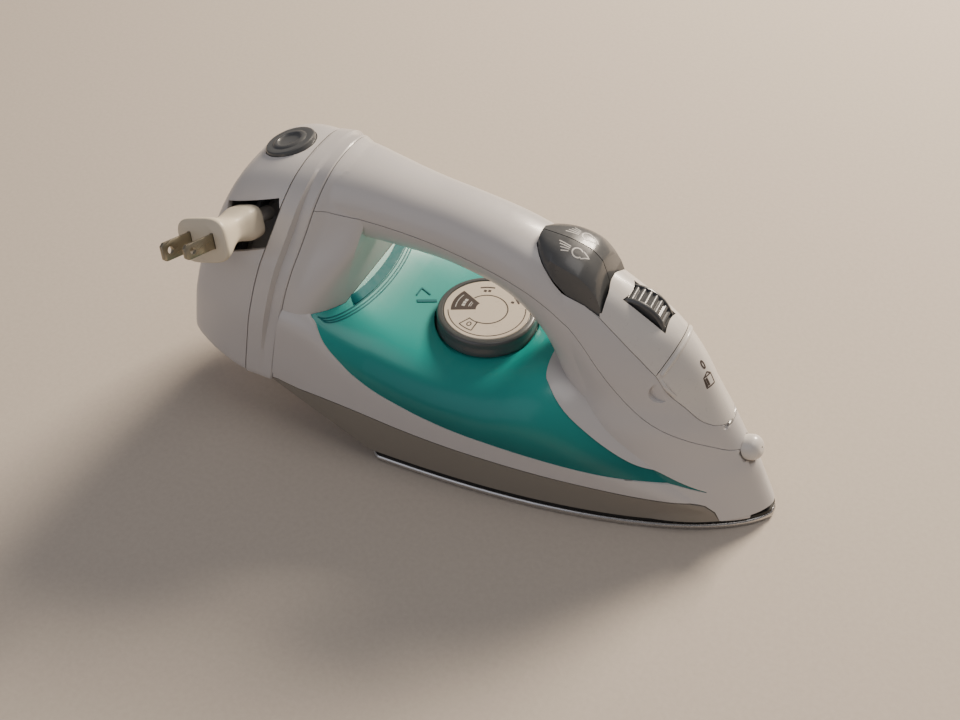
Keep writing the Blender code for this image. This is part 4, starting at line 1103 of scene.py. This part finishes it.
def build_plug():
    side, up, out = plug_frame()
    rows = (
        (-7, 13, 11), (-6.6, 14.6, 12.6), (-5.8, 16.5, 14.5), (-1, 17, 15), (1.5, 16.5, 14),
        (5.5, 14.5, 12.0), (9, 14.5, 11.5),
        (14, 19, 13.5), (19, 24.5, 17.5), (22.0, 26.5, 19.5), (23.4, 26.3, 19.3), (24, 25.2, 18.2),
    )
    rings = []
    for run, wide, tall in smooth_rows(rows, 5):
        power = 3.6
        ring = []
        for k in range(72):
            a = 2 * math.pi * k / 72
            c, s = math.cos(a), math.sin(a)
            u = wide / 2 * math.copysign(abs(c) ** (2 / power), c)
            v = tall / 2 * math.copysign(abs(s) ** (2 / power), s)
            ring.append(tuple(Vector(PLUG_ROOT) + side * u + up * v + out * run))
        rings.append(ring)
    body = loft("plug_form", rings)
    face = rows[-1][0]
    for sign, name, tall in ((-1, "plug_blade_wide", 7.9), (1, "plug_blade_narrow", 6.35)):
        x = sign * BLADE_SPACING / 2
        half = tall / 2
        pocket = box(name + "_pocket", (x - 0.95, -half - 0.2, face - 5.3), (x + 0.95, half + 0.2, face + 2))
        cut(body, framed(pocket, PLUG_ROOT))
        low, high = face - 5, face + BLADE_LENGTH
        profile = [(-half, low), (-half, high - 1.6), (-half + 1.2, high)]
        profile += [(half - 1.2, high), (half, high - 1.6), (half, low)]
        blade = loft(name + "_blank", [[(x + t, v, w) for v, w in profile] for t in (-0.75, 0.75)])
        bevel = blade.modifiers.new("edges", "BEVEL")
        bevel.width = 0.0002
        bevel.segments = 2
        bake(blade)
        framed(blade, PLUG_ROOT)
        hole_at = Vector(PLUG_ROOT) + side * x + out * (face + BLADE_LENGTH - 4.4)
        cut(blade, rod(name + "_hole", hole_at, side, 1.6, -3, 3, 40))
        show(blade, name + "_shell", BRASS, "plug", [name])
    show(body, "plug_body_shell", CREAM, "plug", ["plug_body"], angle=40)
    root = Vector(PLUG_ROOT)
    lead = tube("lead_form", [root - out * d for d in (7.3, 11, 15, 19)], CORD_RADIUS, 24)
    show(lead, "cord_lead_shell", LEAD, "plug", ["cord_lead"])


# ---------------------------------------------------------------- sole
def sole_ring(inset, rear, z):
    front = TIP_X - inset
    while sole_half(front - 0.1) < inset:
        front -= 0.1
    side = [(front, 0.0)]
    for k in range(1, 61):
        x = front - (front - rear - 5) * (k / 60) ** 1.7
        side.append((x, max(sole_half(x) - inset, 0.012 * k)))
    wide = side[-1][1]
    for a in range(10, 100, 10):
        turn = math.radians(a)
        side.append((rear + 5 - 5 * math.sin(turn), wide - 5 + 5 * math.cos(turn)))
    ring = [(x, -y) for x, y in side] + [(x, y) for x, y in side[:0:-1]]
    return [(x, y, z) for x, y in ring]


def build_sole():
    rows = (
        (2.2, -45.2, 0.0), (1.2, -46.2, 0.25), (0.7, -46.5, 0.9), (0.6, -46.6, 2.0), (1.0, -46.3, 3.0),
        (1.6, -45.7, 3.3),
    )
    sole = loft("sole_form", [sole_ring(*row) for row in rows])
    for k in range(6):
        x = 96 - 26 * k
        y = sole_half(x) * 0.72 - 2
        for side in (-1, 1):
            cut(sole, rod("vent", (x, side * y, 0), (0, 0, 1), 1.6, -2, 8, 24))
    cut(sole, rod("vent", (116, 0, 0), (0, 0, 1), 1.6, -2, 8, 24))
    show(sole, "soleplate_shell", STEEL, replaces=["soleplate"], angle=50)
    rows = ((1.8, -45.8, GASKET_LOW), (1.5, -46.0, 4.2), (1.8, -45.8, GASKET_HIGH))
    gasket = loft("gasket_form", [sole_ring(*row) for row in rows])
    show(gasket, "gasket_shell", BLACK, replaces=["sole_gasket"], angle=50)


# ---------------------------------------------------------------- nose fittings
def build_nose_fittings():
    profile = [(0, 5.6), (2.2, 5.55), (3.4, 5.2), (4.4, 4.5), (5.2, 3.5), (5.7, 2.2)]
    profile += [(5.8, 0.8), (5.8, -9), (0, -9)]
    nozzle = turned("nozzle_form", profile, NOZZLE, NOZZLE_AXIS, 72)
    cut(nozzle, rod("jet", NOZZLE, NOZZLE_AXIS, 0.6, 3, 9, 20))
    show(nozzle, "spray_nozzle_shell", TRIM, replaces=["spray_nozzle"])
    door = bpy.data.objects["fill_door_shell"]
    surface = tree_of(door)
    ahead = ((60, 0, 30), tuple(-Vector((0.9, 0, 0.45)).normalized()))

    lip = []
    for y in np.linspace(-15.8, 15.8, 60):
        hit = surface.ray_cast(Vector((104.4, y, 132.4)) * MM, -Vector((0.426, 0, 0.905)))[0]
        if hit is not None:
            lip.append(tuple(hit / MM - Vector((0.2, 0, 0.4))))
    show(tube("lip_form", lip, 1.1, 16), "door_lip", TRIM, "fill_door", whole=False, angle=60)

    def on_door(v, w):
        return (95 + w * -0.45, v, 74 + w * 0.9)

    jug = [on_door(v, w) for v, w in ((-6.0, -4.6), (-1.2, -5.2), (-0.8, -0.2), (-5.4, 0.4), (-6.0, -4.6))]
    spout = [on_door(v, w) for v, w in ((-5.4, 0.4), (-2.6, 1.6), (-0.8, -0.2))]
    turns = np.linspace(0, 2 * math.pi, 21)
    drop = [on_door(-2.4 + 0.7 * math.cos(t), 5.4 + 1.9 * math.sin(t)) for t in turns]
    fill = [on_door(-4.7, k) for k in (-4.2, -0.4)]
    strips = [(finely(jug), 0.6), (finely(spout), 0.6), (finely(fill), 1.8), (drop, 0.8)]
    show(drape("door_mark_form", strips, surface, *ahead, 0.05), "door_mark", PRINT, "fill_door", whole=False)
    for side in (-1, 1):
        tab = finger_tab(side)
        show(tab, "door_tab_" + ("right" if side < 0 else "left"), TRIM, "fill_door", angle=40)


def finger_tab(side):
    """The fingertip ledge at the door's rear corner."""
    rings = []
    for t in np.linspace(0, 1, 14):
        x, z = 78.4 + 7.6 * t, 78.2 - 8.6 * t
        wide = 15.6 + 1.4 * math.sin(math.pi * t)
        ring = []
        for k in range(12):
            a = 2 * math.pi * k / 12
            ring.append((x + 0.9 * math.cos(a), side * (wide + 0.9 * math.sin(a)), z + 0.5 * math.cos(a)))
        rings.append(ring)
    return loft("tab_form", rings)


# ---------------------------------------------------------------- stage
def build_stage():
    bpy.ops.mesh.primitive_plane_add(size=6.0, location=(0, 0, -0.0002))
    floor = bpy.context.active_object
    floor.name = "floor"
    cloth = Finish("floor_pale", Roughness=0.9)
    speck = cloth.noise(420.0, 4.0, 0.6)
    cloth.feed("Base Color", cloth.mix(speck, (0.52, 0.45, 0.38), (0.62, 0.55, 0.47)))
    floor.data.materials.append(cloth.material)

    world = bpy.data.worlds.new("studio")
    world.use_nodes = True
    world.node_tree.nodes["Background"].inputs["Color"].default_value = (0.86, 0.84, 0.88, 1)
    world.node_tree.nodes["Background"].inputs["Strength"].default_value = 0.22
    bpy.context.scene.world = world
    for name, place, size, power, colour in (
        ("key", (0.35, 1.25, 0.95), 0.45, 50.0, (1.0, 0.86, 0.7)),
        ("fill", (-0.5, -1.3, 0.9), 1.4, 3.5, (0.86, 0.88, 1.0)),
        ("top", (0.5, -0.1, 1.5), 0.8, 4.0, (1.0, 0.95, 0.9)),
    ):
        light = bpy.data.objects.new(name, bpy.data.lights.new(name, "AREA"))
        light.data.energy = power
        light.data.size = size
        light.data.color = colour
        light.location = place
        light.rotation_euler = (Vector((0, 0, 0.05)) - Vector(place)).to_track_quat("-Z", "Y").to_euler()
        bpy.context.scene.collection.objects.link(light)


def build_camera():
    """Seen from the right, ahead and above."""
    azimuth, elevation, roll = math.radians(25.5), math.radians(44.5), math.radians(-0.5)
    level_out = Vector((math.sin(azimuth), -math.cos(azimuth), 0)) * math.cos(elevation)
    back = level_out + Vector((0, 0, math.sin(elevation)))
    right = Vector((math.cos(azimuth), math.sin(azimuth), 0))
    up = back.cross(right)
    level = right * math.cos(roll) + up * math.sin(roll)
    upright = up * math.cos(roll) - right * math.sin(roll)
    camera = bpy.data.objects.new("camera", bpy.data.cameras.new("camera"))
    camera.data.sensor_width = 36.0
    camera.data.lens = 49.455
    camera.data.clip_start = 0.01
    place = Matrix((level, upright, back)).transposed().to_4x4()
    camera.matrix_world = Matrix.Translation(Vector((-0.01164, 0, 0.0365)) + back * 0.6154) @ place
    bpy.context.scene.collection.objects.link(camera)
    bpy.context.scene.camera = camera


build_camera()
build_stage()
finish_hidden_nodes()
build_casings()
build_tank()
build_dial()
build_buttons()
build_wheel()
build_heel()
build_rewind()
build_plug()
build_sole()
build_nose_fittings()

for left_over in list(WORK.objects):
    bpy.data.objects.remove(left_over)
bpy.context.view_layer.update()
